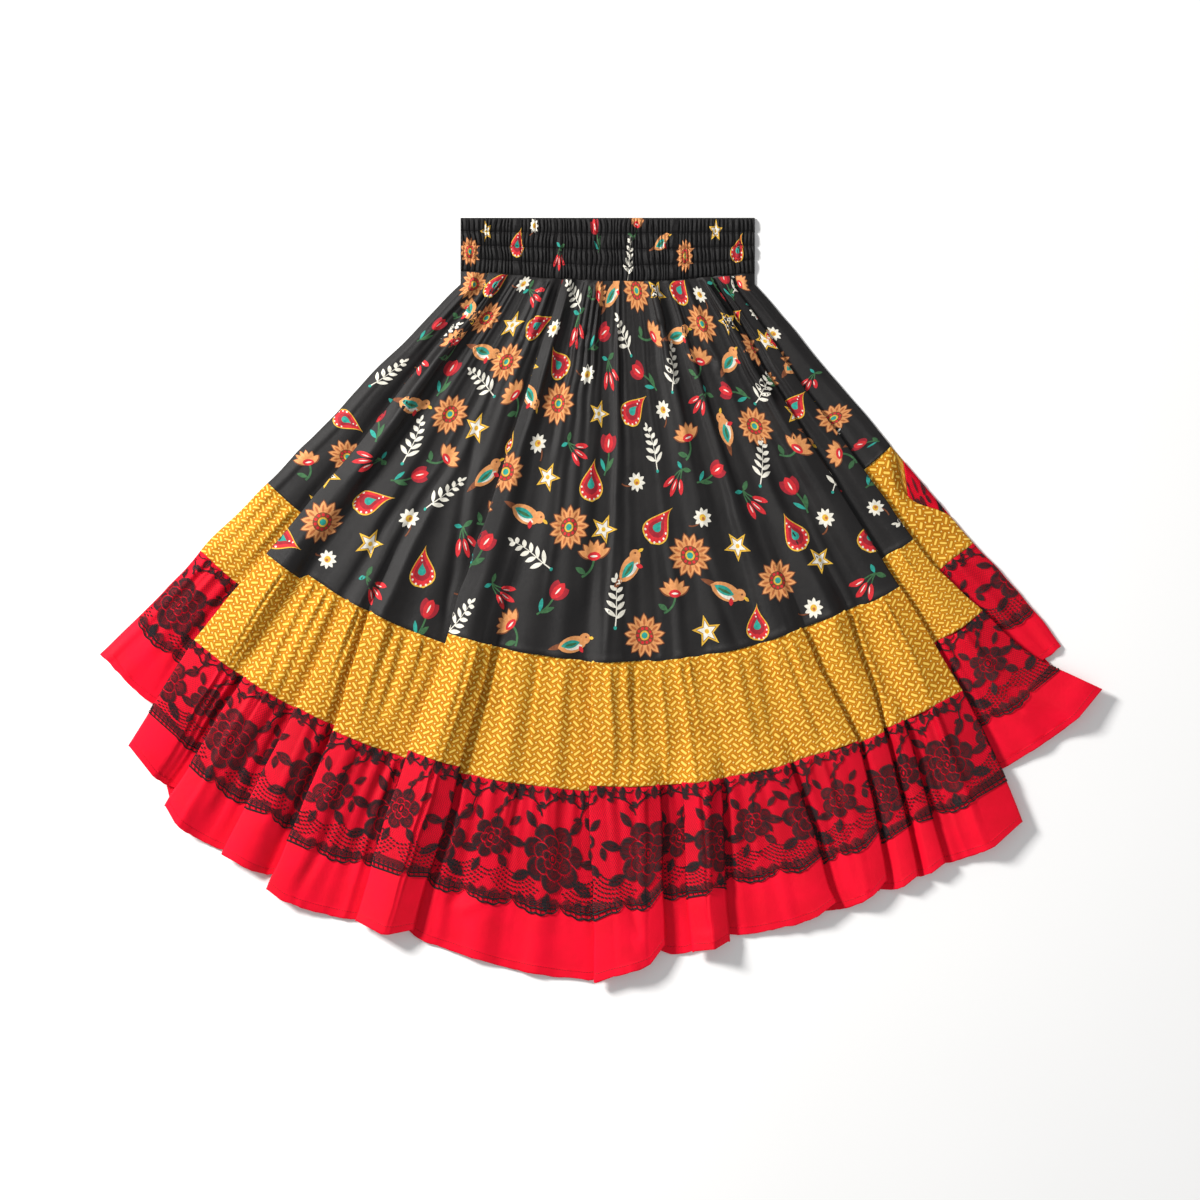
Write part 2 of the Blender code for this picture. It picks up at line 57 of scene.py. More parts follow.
# The skirt spreads as a fan. Its fold lines meet at the apex, above the waistband, and angles are
# measured there, from straight down the skirt, positive to the right.
APEX_X = 0.0199
APEX_Y = 0.5530
LEFT_SIDE = math.radians(-44.1)
RIGHT_SIDE = math.radians(40.3)
WAIST_RADIUS = 0.184  # apex to the waist seam, straight down
WAIST_RISE = 0.009  # how much higher the waist seam is at the sides

# A level is a place down the skirt: 0 is the waist seam, 1 the upper seam, 2 the lower seam, 3 the hem.
LEVELS = (0, 1, 2, 3)
RADII = (0.200, 0.628, 0.774, 0.986)  # apex to those levels on the middle of the front
LACE_END = 2.63  # level of the valleys of the lace's edge
SCALLOP_WIDTH = 0.058
SCALLOP_DEPTH = 0.05  # in levels
LACE_TIP = LACE_END + SCALLOP_DEPTH  # level of the tips of its edge
SCALLOP_START = 0.15  # share of that depth by which the lace hangs down even in the valleys

# Waistband.
BAND_WIDTH = 0.340
BAND_CENTRE_X = 0.0083
BAND_TOP = 0.4431
BAND_CHANNELS = 4  # rows of elastic
BAND_BASE = 0.0015  # thickness of the band under its puckers

# Folds.
GROUND = 0.0034  # height of the front's middle surface where it lies on the back
EDGE_RADII = (0.0009, 0.0011, 0.0014, 0.0018)  # of the bend at a fold's edge, at the levels
MARGIN_ANGLE = 0.0032  # least width, seen from the apex, between two columns beside a fold
TUCK_RADII = (0.0010, 0.0028, 0.0030, 0.0032)  # of the bend under a flap, round the right side
FIRST_DEPTH = 0.004  # how far the cloth is tucked under where a fold begins
PLAIN_ANGLE = 0.010  # width, seen from the apex, of the step that leads to a fold from the tier above
PLAIN_REACH = 0.40  # levels over which that step grows
RISE = 0.045  # width over which a flap rises from the ground
CALM = 0.014  # width beside a fold's edge where the soft waves die out
SIDE_ROLL = 0.0020  # height of the soft roll along the side folds
SIDE_ROLL_WIDTH = 0.016
SIDE_DROP_REACH = 0.020  # length over which the sides drop to where the back has no lace
HEM_CURL = 0.010  # how much the hem rises at the corner of a formed flap
HEM_CURL_WIDTH = 0.016

# The front's flaps, from left to right. "over" means that the flap's right-hand edge lies over the
# next flap, and "under" that the next one lies over it. The edge's angle, in degrees, is given where
# the middle of the front has its upper seam, lower seam and hem. The fold begins at the seam above the
# tier "first", and depth is how far the cloth is tucked under in the end. lift is how much nearer the
# apex the flap's own seams are than those of the middle, and its hem, at its left and right.
Flap = namedtuple(
    "Flap", "edge at_upper at_lower at_hem depth first lift_upper lift_lower lift_left lift_right"
)
FLAPS = (
    Flap("under", -38.9, -39.3, -37.8, 0.036, 0, 0.044, 0.080, 0.125, 0.120),
    Flap("under", -34.6, -34.2, -33.4, 0.012, 2, -0.018, -0.002, 0.058, 0.050),
    Flap("under", -29.6, -28.8, -28.5, 0.012, 1, -0.009, -0.002, 0.024, 0.018),
    Flap("under", -27.1, -25.1, -24.6, 0.010, 1, -0.009, 0.000, 0.010, 0.024),
    Flap("under", -18.4, -18.4, -18.2, 0.024, 0, -0.009, -0.006, -0.003, 0.010),
    Flap("over", -13.4, -13.7, -14.3, 0.012, 1, 0.003, 0.004, 0.001, 0.009),
    Flap("under", -2.6, -2.3, -1.5, 0.012, 1, 0.003, -0.004, 0.012, -0.016),
    Flap("over", 3.6, 3.6, 3.3, 0.009, 2, 0.003, 0.003, -0.020, 0.021),
    Flap("under", 5.6, 5.5, 5.1, 0.009, 2, 0.001, 0.003, 0.017, 0.013),
    Flap("over", 8.8, 8.8, 7.6, 0.009, 2, 0.001, 0.003, 0.011, 0.017),
    Flap("over", 15.5, 15.0, 15.9, 0.016, 2, 0.002, 0.003, 0.027, 0.036),
    Flap("over", 20.0, 21.3, 19.2, 0.010, 1, 0.002, 0.003, 0.030, 0.044),
    Flap("over", 24.9, 23.6, 21.4, 0.009, 1, 0.002, 0.000, 0.036, 0.036),
    Flap("over", 26.9, 25.5, 23.5, 0.009, 2, 0.002, 0.003, 0.039, 0.036),
    Flap("over", 31.2, 31.4, 29.8, 0.034, 0, 0.000, 0.003, 0.041, 0.036),
    Flap("over", 35.4, 37.6, 43.4, 0.034, 0, 0.037, 0.066, 0.111, 0.112),
    Flap("seam", 40.3, 40.3, 40.3, 0.000, 9, 0.134, 0.136, 0.190, 0.190),
)
NOTCH_DEPTH = math.radians(2.5)  # the right side fold bends in here, and the back shows past it
NOTCH_RADIUS = 0.547
NOTCH_REACH = 0.055

# Soft folds that do not turn under. The angle is given at the waist and at the hem, and the height
# at the waist, the upper seam, the lower seam and the hem.
Ridge = namedtuple("Ridge", "at_waist at_hem width h_waist h_upper h_lower h_hem")
RIDGE_WAIST_SHARE = 0.35  # share of their width that the soft folds have at the waist
RIDGES = (
    Ridge(-41.0, -42.0, 0.020, 0.0030, 0.0032, 0.0036, 0.0030),
    Ridge(-36.5, -35.6, 0.017, 0.0034, 0.0058, 0.0032, 0.0030),
    Ridge(-31.0, -31.6, 0.018, 0.0022, 0.0034, 0.0036, 0.0040),
    Ridge(-26.5, -26.4, 0.016, 0.0036, 0.0060, 0.0036, 0.0018),
    Ridge(-21.5, -21.8, 0.021, 0.0028, 0.0040, 0.0038, 0.0044),
    Ridge(-15.8, -16.2, 0.015, 0.0038, 0.0052, 0.0034, 0.0030),
    Ridge(-10.2, -9.6, 0.020, 0.0026, 0.0034, 0.0040, 0.0046),
    Ridge(-6.2, -5.6, 0.016, 0.0034, 0.0048, 0.0036, 0.0038),
    Ridge(0.6, 1.0, 0.018, 0.0030, 0.0036, 0.0034, 0.0040),
    Ridge(6.4, 6.4, 0.014, 0.0026, 0.0040, 0.0032, 0.0026),
    Ridge(11.6, 11.8, 0.021, 0.0034, 0.0046, 0.0038, 0.0048),
    Ridge(17.2, 17.6, 0.016, 0.0032, 0.0050, 0.0036, 0.0034),
    Ridge(22.8, 24.6, 0.016, 0.0038, 0.0054, 0.0032, 0.0024),
    Ridge(28.2, 27.0, 0.019, 0.0032, 0.0042, 0.0040, 0.0044),
    Ridge(34.0, 34.0, 0.018, 0.0036, 0.0044, 0.0040, 0.0042),
    Ridge(38.4, 37.6, 0.015, 0.0030, 0.0030, 0.0030, 0.0032),
)

# Gathers stand below each seam. They rise within a short way of it and fade down the tier.
Gathers = namedtuple("Gathers", "seam height rise fade")
GATHERS = (
    Gathers(0, 0.0026, 0.04, 0.34),
    Gathers(1, 0.0020, 0.13, 0.75),
    Gathers(2, 0.0022, 0.10, 0.62),
)
GATHERS_PER_DEGREE = 0.53  # seen from the apex

# How much nearer the apex the back's seams and hem are. It shows only past the sides of the front.
BACK_ANGLES = (-44.1, -38.6, -33.0, 23.0, 28.6, 36.0, 40.3)
BACK_LIFT_UPPER = (0.044, 0.044, 0.010, 0.010, 0.055, 0.120, 0.165)
BACK_LIFT_LOWER = (0.080, 0.080, 0.012, 0.012, 0.100, 0.195, 0.260)
BACK_LIFT_HEM = (0.128, 0.122, 0.034, 0.055, 0.140, 0.265, 0.360)

# Columns and rows of the dense cloth.
PER_GATHER = 11  # columns for each gather
ARC_STEPS = 4  # steps round each bend of a fold
SECTIONS = 121  # cross-sections that the rows are read from
ON_FLAP = 0.999  # a place on a flap is its number plus up to this much, and a fold takes the rest
UPPER_COUNT = 118  # rows of the upper tier, and so on
MIDDLE_COUNT = 60
LOWER_COUNT = 74
LACE_COUNT = 54
BACK_COLUMNS = 120
BACK_FAN = np.linspace(LEFT_SIDE, RIGHT_SIDE, BACK_COLUMNS + 1)  # angles of the back's columns
ROW_CROWDING = 0.62  # how much closer together the rows are at a tier's two edges, up to 1

# Random curves and hills are read from tables of this size, with room below zero.
CURVE_DRAWS = 2400
CURVE_MARGIN = 60
HILL_DRAWS = 420
HILL_MARGIN = 60

# Fine relief of the cloth.
GATHER_START = 0.006  # how soon below its seam a gather has its full height
GATHER_STRAY = 0.35  # how far a gather strays along the seam, as a share of its size
GATHER_SHARPNESS = 1.6  # above 1 the crests are narrow and the valleys wide
GATHER_VARIES = 0.6  # share of its length by which one gather is longer than the next
GATHER_DIP = 0.4  # share of their height by which the valleys lie below the plain cloth
GATHER_FALL = 1.3  # above 1 a gather keeps its height longer and then ends sooner
SEAM_ROLL = 0.0009  # height of the roll above a seam
SEAM_REACH = 0.0035  # distance from the seam over which the cloth rolls or sinks
SEAM_DIP = 0.5  # share of that height by which the cloth dips at the seam itself
SEAM_DIP_REACH = 0.001  # distance over which that dip ends
SEAM_SINK = 0.0007  # how far below the seam the gathered cloth starts
SEAM_UNDERLAP = 0.0016  # how far it reaches up under the tier above
SWAYS = ((0.085, 0.0022, 201), (0.030, 0.0011, 203))  # size, reach and seed of the sideways shifts

# The relief of each tier. Gathers are size, height, reach and seed, below the upper seam and above the
# lower one, and hills are height, size along and down the cloth, and seed.
Relief = namedtuple("Relief", "gathers hills above")
RELIEF = {
    "upper": Relief(
        gathers=((0.0115, 0.0034, 0.045, 11), (0.027, 0.0046, 0.12, 21)),
        hills=((0.0024, 0.055, 0.17, 31), (0.0007, 0.018, 0.08, 41)),
        above=((0.011, 0.0008, 0.020, 51),),
    ),
    "middle": Relief(
        gathers=((0.0105, 0.0027, 0.040, 12), (0.023, 0.0032, 0.12, 22)),
        hills=((0.0014, 0.030, 0.10, 32), (0.0004, 0.010, 0.035, 42)),
        above=((0.012, 0.0012, 0.022, 52),),
    ),
    "lower": Relief(
        gathers=((0.0095, 0.0028, 0.040, 13), (0.024, 0.0036, 0.15, 23)),
        hills=((0.0017, 0.034, 0.14, 33), (0.0004, 0.011, 0.040, 43)),
        above=(),
    ),
}

# Edges.
HEM_WIDTH = 0.009  # of the turned hem
HEM_RELIEF = 0.0004  # how far the turned hem stands out
HEM_VARIES = 0.8  # share by which that varies
HEM_SLOPE = 0.15  # share of the hem's width over which it rises
HEM_WOBBLES = ((0.012, 0.0007, 91), (0.005, 0.0004, 92))  # size, reach and seed of the edge's wobbles
LACE_LOOSE = 0.0004  # how far the lace stands off the red cloth
HEM_THICKNESS = 0.0009  # from the outer face to the cloth turned under
SIDE_TURN = 0.0012  # how far the cloth bulges at the side folds
CORNER_REACH = 0.05  # how far from the side the cloth is drawn out to the waistband's corner
BACK_TOP = 0.0013  # height of the back's inner face

# How flat shapes lie on the cloth.
SLIVER = 1e-10  # twice the area, in square metres, under which a flat triangle is left out
PRINT_LIFT = 0.00020  # how far the print lies above the cloth
PRINT_STEP = 3.0  # size of a printed shape's triangles, in millimetres
MOTIF_SIZE = 1.12  # scale of the motifs on the upper tier
MOTIF_TILT = 75  # most that a motif is turned, in degrees
MOTIF_ACROSS = 0.076  # distance between motifs in a row, along the tier's lower edge
MOTIF_DOWN = 0.0425  # distance between rows
MOTIF_STRAY = 0.13  # share of those distances by which a motif is astray
NARROWEST = 0.30  # share of its width that a motif would keep if the gathers took up all the cloth
FULL_AT = 1.25  # what that share would grow to where the tier is widest, before it is held to 1
MOTIF_EDGE = 0.015  # distance of the first row from the tier's upper edge
LACE_REPEAT = 0.152  # length of the lace's repeat
LACE_STEP = 4.5  # size of the lace's triangles, in millimetres
THREAD_LIFT = 0.00025  # how far lace motifs and stitches lie above their cloth
EDGE_LIFT = 0.00045  # the same for the cords along the lace's edge
ARCH_WIDTH = 0.0145  # width of an arch in the band beside them
EDGE_BANDS = (  # kind of stitch, distance from the edge, width and swing of the bands along it
    ("thread", 0.0002, 0.0017, 0.0), ("thread", 0.0044, 0.0018, 0.0), ("petal", 0.0066, 0.0030, 0.0060),
)

# The lace.
LACE_LIFT = 0.0006  # between the red cloth's outer face and the lace
LACE_CENTRE = 0.49  # share of the lace's depth at which its repeat is centred
LACE_START = 0.045  # where the first repeat of the lace is centred along the cloth
SMALL_SCALLOPS = 4  # small scallops in each large one
SMALL_SCALLOP = 0.0028  # their depth
LACE_SCALLOP = SCALLOP_DEPTH * (RADII[3] - RADII[2])  # depth of the large scallops
EDGE_ROWS = 12  # rows of the lace that follow its scalloped edge
LACE_SPARE = 1.6  # depths of a scallop by which the lace's rows go on, to be drawn up to that edge

# The back.
BACK_RELIEF = 0.0003  # height of the back's hills
SIDE_LACE_FROM = 34.5  # angle from which the back's lace shows past the right side
SIDE_LACE_START = 0.02  # where the first repeat of that lace is centred

# The waistband's cloth.
BAND_COLUMNS = 561
BAND_ROWS = 61
BAND_X = BAND_CENTRE_X + BAND_WIDTH * (np.linspace(0, 1, BAND_COLUMNS) - 0.5)  # of the columns
BAND_WOBBLE = 0.0006  # how far the band's lower edge strays
BAND_SINK = 0.0014  # how far the elastic draws the cloth in
BAND_FLOOR = CLOTH + GAP + BAND_BASE - BAND_SINK  # height of the cloth between its puckers
BAND_ARCH = 0.0020  # how far the cloth swells between the rows of elastic
BAND_PUCKER = 0.0052  # spacing of the shirred puckers
BAND_DEPTH = 0.0030  # height of the puckers
BAND_ON_ELASTIC = 0.45  # share of the puckers' height that is left on the elastic
BAND_ROUNDNESS = 0.7  # under 1 the puckers are full and the valleys between them narrow
BAND_STRAY = 0.75  # how far a pucker strays along the band, as a share of the spacing
BAND_LEAN = 0.0018  # how far it leans aside
BAND_VARIES = 0.22  # share by which the puckers' heights vary
BAND_SMALL_TURNS = 2.37  # small creases for each pucker
BAND_SMALL_SHARE = 0.30  # their depth as a share of the puckers' height
BAND_TURN_IN = 0.002  # how far the cloth turns in behind the band's top edge
BAND_LIP = 0.0007  # how far the top edge bulges out
BAND_LIP_HEIGHT = 0.45  # height of the bulge, as a share of the cloth's height there
BAND_TURN_ROWS = (-0.005, -0.0015)  # the turned-in rows' distances down the cloth
BAND_NARROW = 0.66  # share of its width that a motif keeps on the shirred band
BAND_TILT = 18  # most that a motif is turned there, in degrees

# The stitches.
BAND_STITCH = (0.0027, 0.0018, 0.0005)  # pitch, length and width of the stitches along the elastic
BAND_STITCH_RISE = 0.0008  # how far above the elastic's middle they run
HEM_STITCH = (0.0032, 0.0022, 0.00045)  # the same of the hem's stitches
HEM_STITCH_LINE = 0.85 * HEM_WIDTH  # distance of the hem's stitches from its edge

# Where the waistband's motifs are, as shares of its width and of its depth.
BAND_MOTIFS = (
    (0.03, 0.62), (0.085, 0.24), (0.19, 0.46), (0.25, 0.13), (0.335, 0.62), (0.46, 0.25),
    (0.57, 0.66), (0.60, 0.14), (0.685, 0.40), (0.765, 0.62), (0.87, 0.22), (0.945, 0.55),
)

# Fine structure of the materials.
WEAVE_PITCH = 0.00055  # distance between two threads of the cotton that lie alike
WEAVE_SHARE = 0.25  # shares of the bump that the weave and the small creases have
CRUMPLE_SHARE = 0.9
CRUMPLE_SCALE = 190.0  # creases in a metre
CRUMPLE_DEPTH = 0.0006
GOLD_REPEAT = 0.0125  # side of the gold print's square repeat
BAR_HALF = 0.0030  # half the length of a printed bar's middle line
BAR_RADIUS = 0.0016  # half its width
BAR_TILT = 38  # in degrees
DOT_RADIUS = 0.00115
BAR_EDGE = (1.1, 0.75)  # where a mark's edge starts and where it is full, as shares of its radius
GOLD_LAYERS = (  # the print from below, each layer with its mark, those shares and its colour; the third layer, a pale core along each bar's middle, is a painted highlight
    ("bar", 1.75, 1.15, (160, 92, 12)),
    ("bar", *BAR_EDGE, (232, 180, 60)),
    # A pale core along each bar's middle line: painted highlight.
    ("bar", 0.7, 0.1, (244, 210, 108)),
    ("dot", 1.7, 1.1, (168, 100, 14)),
    ("dot", 1.0, 0.6, (246, 222, 130)),
)
NET_PITCH = 0.0026  # distance along the cloth between two threads of the net that run alike
NET_THREAD = 0.12  # the net's wave, from 0 to 1, is a thread below this
NET_SLANT = 0.62  # how far a thread runs along the cloth for each step down it
LACE_RIB = 0.0013  # pitch of the threads in the lace's dense parts

# The floor, the lights and the view.
PHOTO_PIXEL = BAND_WIDTH / 292  # metres across one of the photo's 1200 pixels
VIEW_WIDTH = 1200 * PHOTO_PIXEL
VIEW_CENTRE = (-0.5 * PHOTO_PIXEL, -1.0 * PHOTO_PIXEL)
CAMERA_HEIGHT = 3.6
WORLD_LIGHT = 0.38  # strength of the light from all round
FLOOR_SIZE = 24.0
FLOOR_DROP = 0.0002  # how far the floor lies below the skirt
Light = namedtuple("Light", "name place size power tint")
LIGHTS = (
    Light("key", (-2.4, 1.5, 1.75), 0.7, 178, (1.0, 0.985, 0.96)),
    Light("fill", (2.2, -1.4, 2.4), 2.4, 16, (0.96, 0.98, 1.0)),
)

# Main creases: where each starts and ends in the fan, in degrees and metres from the apex,
# its half-width and its height, negative for a trough.
CREASE_EASE = 0.3  # share of a crease's length over which it fades at each end
Crease = namedtuple("Crease", "from_angle from_radius to_angle to_radius width height")
CREASES = {
    "upper": (
        (-28.8, 0.268, -26.8, 0.488, 0.0065, 0.0024), (-24.8, 0.400, -18.6, 0.629, 0.0060, -0.0028),
        (-22.6, 0.430, -16.9, 0.620, 0.0080, 0.0018), (-6.0, 0.300, -5.8, 0.480, 0.0050, -0.0022),
        (-4.6, 0.250, -4.4, 0.560, 0.0075, 0.0016), (0.2, 0.255, -0.3, 0.450, 0.0040, 0.0022),
        (-0.3, 0.440, -1.2, 0.615, 0.0045, 0.0018), (1.6, 0.260, 0.8, 0.600, 0.0055, -0.0018),
        (15.1, 0.235, 15.4, 0.560, 0.0060, -0.0024), (17.0, 0.230, 17.2, 0.520, 0.0070, 0.0018),
        (32.4, 0.215, 33.3, 0.330, 0.0060, -0.0032), (29.5, 0.220, 30.6, 0.380, 0.0060, 0.0024),
        (-33.6, 0.250, -34.4, 0.420, 0.0060, -0.0022), (-38.2, 0.270, -36.6, 0.500, 0.0070, 0.0020),
        (-12.4, 0.215, -11.6, 0.380, 0.0055, -0.0024), (-18.2, 0.225, -15.2, 0.360, 0.0050, 0.0020),
        (7.5, 0.215, 8.3, 0.330, 0.0045, -0.0022), (10.2, 0.220, 9.0, 0.440, 0.0060, 0.0018),
        (21.6, 0.225, 23.0, 0.420, 0.0060, -0.0020), (25.6, 0.380, 26.2, 0.620, 0.0080, 0.0020),
        (-15.1, 0.512, -7.7, 0.512, 0.0022, -0.0009), (-9.0, 0.400, -8.6, 0.560, 0.0040, 0.0010),
        (11.2, 0.500, 13.0, 0.622, 0.0060, -0.0020), (36.4, 0.300, 36.8, 0.480, 0.0070, 0.0018),
        (-29.9, 0.267, -23.5, 0.273, 0.0032, -0.0022), (-29.6, 0.277, -24.0, 0.282, 0.0034, 0.0014),
        (-22.4, 0.277, -16.9, 0.259, 0.0034, -0.0020), (-13.7, 0.264, -7.0, 0.246, 0.0032, -0.0018),
        (-12.5, 0.272, -7.2, 0.258, 0.0036, 0.0012), (-6.3, 0.262, -5.8, 0.316, 0.0030, -0.0016),
        (11.3, 0.235, 14.3, 0.256, 0.0032, -0.0020), (5.3, 0.269, 9.0, 0.293, 0.0034, -0.0018),
        (14.4, 0.274, 20.7, 0.275, 0.0034, -0.0016), (20.0, 0.280, 23.1, 0.301, 0.0032, -0.0022),
        (24.4, 0.291, 21.6, 0.311, 0.0034, 0.0014), (34.8, 0.281, 33.3, 0.306, 0.0034, -0.0020),
        (-29.6, 0.332, -24.2, 0.342, 0.0036, -0.0016), (3.7, 0.404, 7.0, 0.425, 0.0040, -0.0012),
    ),
    "middle": (
        (6.8, 0.630, 6.1, 0.760, 0.0060, -0.0020), (-9.8, 0.630, -9.6, 0.765, 0.0060, 0.0016),
        (-22.4, 0.635, -22.0, 0.770, 0.0060, -0.0020), (-32.0, 0.640, -31.4, 0.765, 0.0060, 0.0018),
        (12.6, 0.632, 12.2, 0.765, 0.0065, 0.0018), (17.8, 0.632, 18.6, 0.765, 0.0055, -0.0018),
        (29.0, 0.632, 28.6, 0.760, 0.0065, 0.0018), (33.8, 0.577, 33.9, 0.620, 0.0040, -0.0016),
        (37.8, 0.559, 39.5, 0.602, 0.0040, -0.0015), (36.3, 0.565, 37.3, 0.603, 0.0040, 0.0012),
        (-11.3, 0.672, -11.1, 0.725, 0.0036, -0.0014), (9.6, 0.668, 9.6, 0.730, 0.0036, -0.0014),
    ),
    "lower": (
        (-12.2, 0.785, -12.6, 0.975, 0.0080, 0.0024), (-21.6, 0.790, -22.4, 0.960, 0.0080, -0.0024),
        (12.0, 0.785, 12.4, 0.960, 0.0085, 0.0022), (24.8, 0.780, 25.6, 0.930, 0.0070, 0.0020),
        (-31.6, 0.780, -31.0, 0.930, 0.0070, 0.0022), (0.8, 0.790, 1.0, 0.970, 0.0060, -0.0020),
        (-12.2, 0.931, -11.1, 0.908, 0.0050, -0.0018), (-11.2, 0.935, -9.6, 0.916, 0.0055, 0.0014),
        (0.9, 0.904, 1.6, 0.945, 0.0050, -0.0016), (34.2, 0.797, 34.4, 0.830, 0.0050, -0.0018),
        (6.0, 0.914, 6.4, 0.944, 0.0045, -0.0015),
    ),
}


def smooth(t):
    """0 below 0, 1 above 1, and a smooth step between."""
    t = np.clip(t, 0.0, 1.0)
    return t * t * (3 - 2 * t)


def unit(vectors):
    """The same vectors with a length of one."""
    return vectors / np.maximum(np.linalg.norm(vectors, axis=-1, keepdims=True), TINY)


# The folds of the front.
def tuck(flap, level):
    """The cloth's path round a fold: the flap's edge, back under the flap, and out again.

    Returns the distance past the fold's edge and the height, from the flap's top to the ground.
    """
    edge_radius = float(np.interp(level, LEVELS, EDGE_RADII))
    tuck_radius = float(np.interp(level, LEVELS, TUCK_RADII))
    grown = smooth((level - flap.first) / (LEVELS[-1] - flap.first))
    depth = FIRST_DEPTH + (flap.depth - FIRST_DEPTH) * float(grown)
    share = (np.arange(ARC_STEPS) + 0.5) / ARC_STEPS
    turning = math.pi * np.concatenate([share, [1], 1 - share])
    round_edge = np.full(ARC_STEPS, math.pi * edge_radius / ARC_STEPS)
    round_tuck = np.full(ARC_STEPS, math.pi * tuck_radius / ARC_STEPS)
    length = np.concatenate([round_edge, [depth], round_tuck])
    past = np.concatenate([[0], np.cumsum(length * np.cos(turning))])
    height = np.concatenate([[0], -np.cumsum(length * np.sin(turning))])
    return past - past.max(), height - height[-1]


def plain_step(flap, level, radius):
    """The step in the tier above a fold, where the cloth is not tucked under yet."""
    grown = float(smooth((level - flap.first + PLAIN_REACH) / PLAIN_REACH))
    top = 2 * (np.interp(level, LEVELS, EDGE_RADII) + np.interp(level, LEVELS, TUCK_RADII))
    return PLAIN_ANGLE * radius * np.array([-0.5, 0.5]), np.array([top * grown, 0.0]), grown


def fold_angle(flap, level):
    """The angle of a flap's right-hand edge at a level."""
    angles = (flap.at_upper, flap.at_upper, flap.at_lower, flap.at_hem)
    degrees = float(np.interp(level, LEVELS, angles))
    if flap.edge == "seam":
        radius = float(np.interp(level, LEVELS, RADII))
        bend = 1 - abs(radius - NOTCH_RADIUS) / NOTCH_REACH
        return math.radians(degrees) - NOTCH_DEPTH * float(smooth(bend))
    return math.radians(degrees)


def gathers_across(index):
    """How many gathers a flap has, the same at every level."""
    left = math.degrees(LEFT_SIDE) if index == 0 else FLAPS[index - 1].at_lower
    return max(1, round((FLAPS[index].at_lower - left) * GATHERS_PER_DEGREE))


# One end of a flap: its place across and its height, the edge of the flap that lies over it, if any,
# how far the fold there is formed, from 0 to 1, and how deep it is tucked under.
End = namedtuple("End", "at height cover formed deep")


def fold_beside(index, level, tier_end, radius):
    """The right end of a flap, the folded cloth past it, and the left end of the next flap."""
    flap = FLAPS[index]
    edge = radius * fold_angle(flap, level)
    if flap.edge == "seam":
        return End(edge, 0.0, None, 0.0, 0.0), np.empty((0, 6)), None
    if flap.first < tier_end:
        past, height = tuck(flap, level)
        formed, between = 1.0, index + np.repeat([ON_FLAP, 1.0], ARC_STEPS)
    else:
        past, height, formed = plain_step(flap, level, radius)
        between = np.array([])
    deep = np.ptp(past) * formed
    under = flap.edge == "under"
    if under:
        past, height = -past[::-1], height[::-1]
    right = End(edge + past[0], height[0], edge if under else None, formed, deep)
    left = End(edge + past[-1], height[-1], None if under else edge, formed, deep if under else 0.0)
    still = np.zeros(len(between))
    folded = np.column_stack([edge + past[1:-1], height[1:-1], between, still, still, still + formed])
    return right, folded, left


def flap_across(index, radius, left, right):
    """The points across one flap, between its two ends."""
    low = left.at if left.cover is None else left.cover
    high = right.at if right.cover is None else right.cover
    top_left, top_right = left.at + left.deep, right.at - right.deep
    room = MARGIN_ANGLE * radius
    inner_left = max(low + room, top_left + room)
    inner_right = max(min(high - room, top_right - room), inner_left + room)
    waves_here = gathers_across(index)
    share = np.linspace(0, 1, waves_here * PER_GATHER + 1)
    along = np.concatenate([[left.at], inner_left + (inner_right - inner_left) * share, [right.at]])
    share = np.concatenate([[0], share, [1]])
    rising = smooth((along - max(top_right - RISE, low)) / max(min(RISE, top_right - low), TINY))
    falling = 1 - smooth((along - top_left) / max(min(RISE, high - top_left), TINY))
    height = right.height * rising + left.height * falling
    waves = smooth((along - low) / CALM) * smooth((high - along) / CALM)
    gather = (0.5 - 0.5 * np.cos(2 * math.pi * share * waves_here)) * waves
    corner = left.formed * np.exp(-np.abs(along - left.at) / HEM_CURL_WIDTH)
    corner += right.formed * np.exp(-np.abs(right.at - along) / HEM_CURL_WIDTH)
    on_flap = index + ON_FLAP * (along - left.at) / (right.at - left.at)
    return np.column_stack([along, height, on_flap, waves, gather, corner])


def cross_section(level, tier_end):
    """The folds across the front, where its middle has this level, from the left side to the right.

    Folds that begin at tier_end or below stay plain. Returns one row for each point: its angle, its
    height above the ground, the flap's number with the way to the next flap as a fraction, how much
    of the soft waves it takes, the height of a gather there, how near a formed flap's corner it is,
    and its way along the cloth from the left side and to the right side.
    """
    radius = float(np.interp(level, LEVELS, RADII))
    rows = []
    left = End(radius * LEFT_SIDE, 0.0, None, 0.0, 0.0)
    for index in range(len(FLAPS)):
        right, folded, next_left = fold_beside(index, level, tier_end, radius)
        rows += [flap_across(index, radius, left, right), folded]
        left = next_left
    section = np.vstack(rows)
    along = section[:, 0].copy()
    section[:, 0] /= radius
    return np.column_stack([section, along - along[0], along[-1] - along])


def section_table(tier_end):
    """The cross-sections of a tier at SECTIONS levels from the waist seam to the hem."""
    levels = np.linspace(LEVELS[0], LEVELS[-1], SECTIONS)
    return np.stack([cross_section(level, tier_end) for level in levels])


def ridges_height(angle, level, radius):
    """Height of the soft folds at some angles on a level, at the points' own radii."""
    degrees = np.degrees(angle)
    height = np.zeros_like(degrees)
    for ridge in RIDGES:
        centre = ridge.at_waist + (ridge.at_hem - ridge.at_waist) * level / LEVELS[-1]
        heights = (ridge.h_waist, ridge.h_upper, ridge.h_lower, ridge.h_hem)
        tall = float(np.interp(level, LEVELS, heights))
        width = ridge.width * (RIDGE_WAIST_SHARE + (1 - RIDGE_WAIST_SHARE) * min(level, 1))
        away = np.radians(degrees - centre) * radius / width
        height += tall * np.exp(-away * away)
    return height


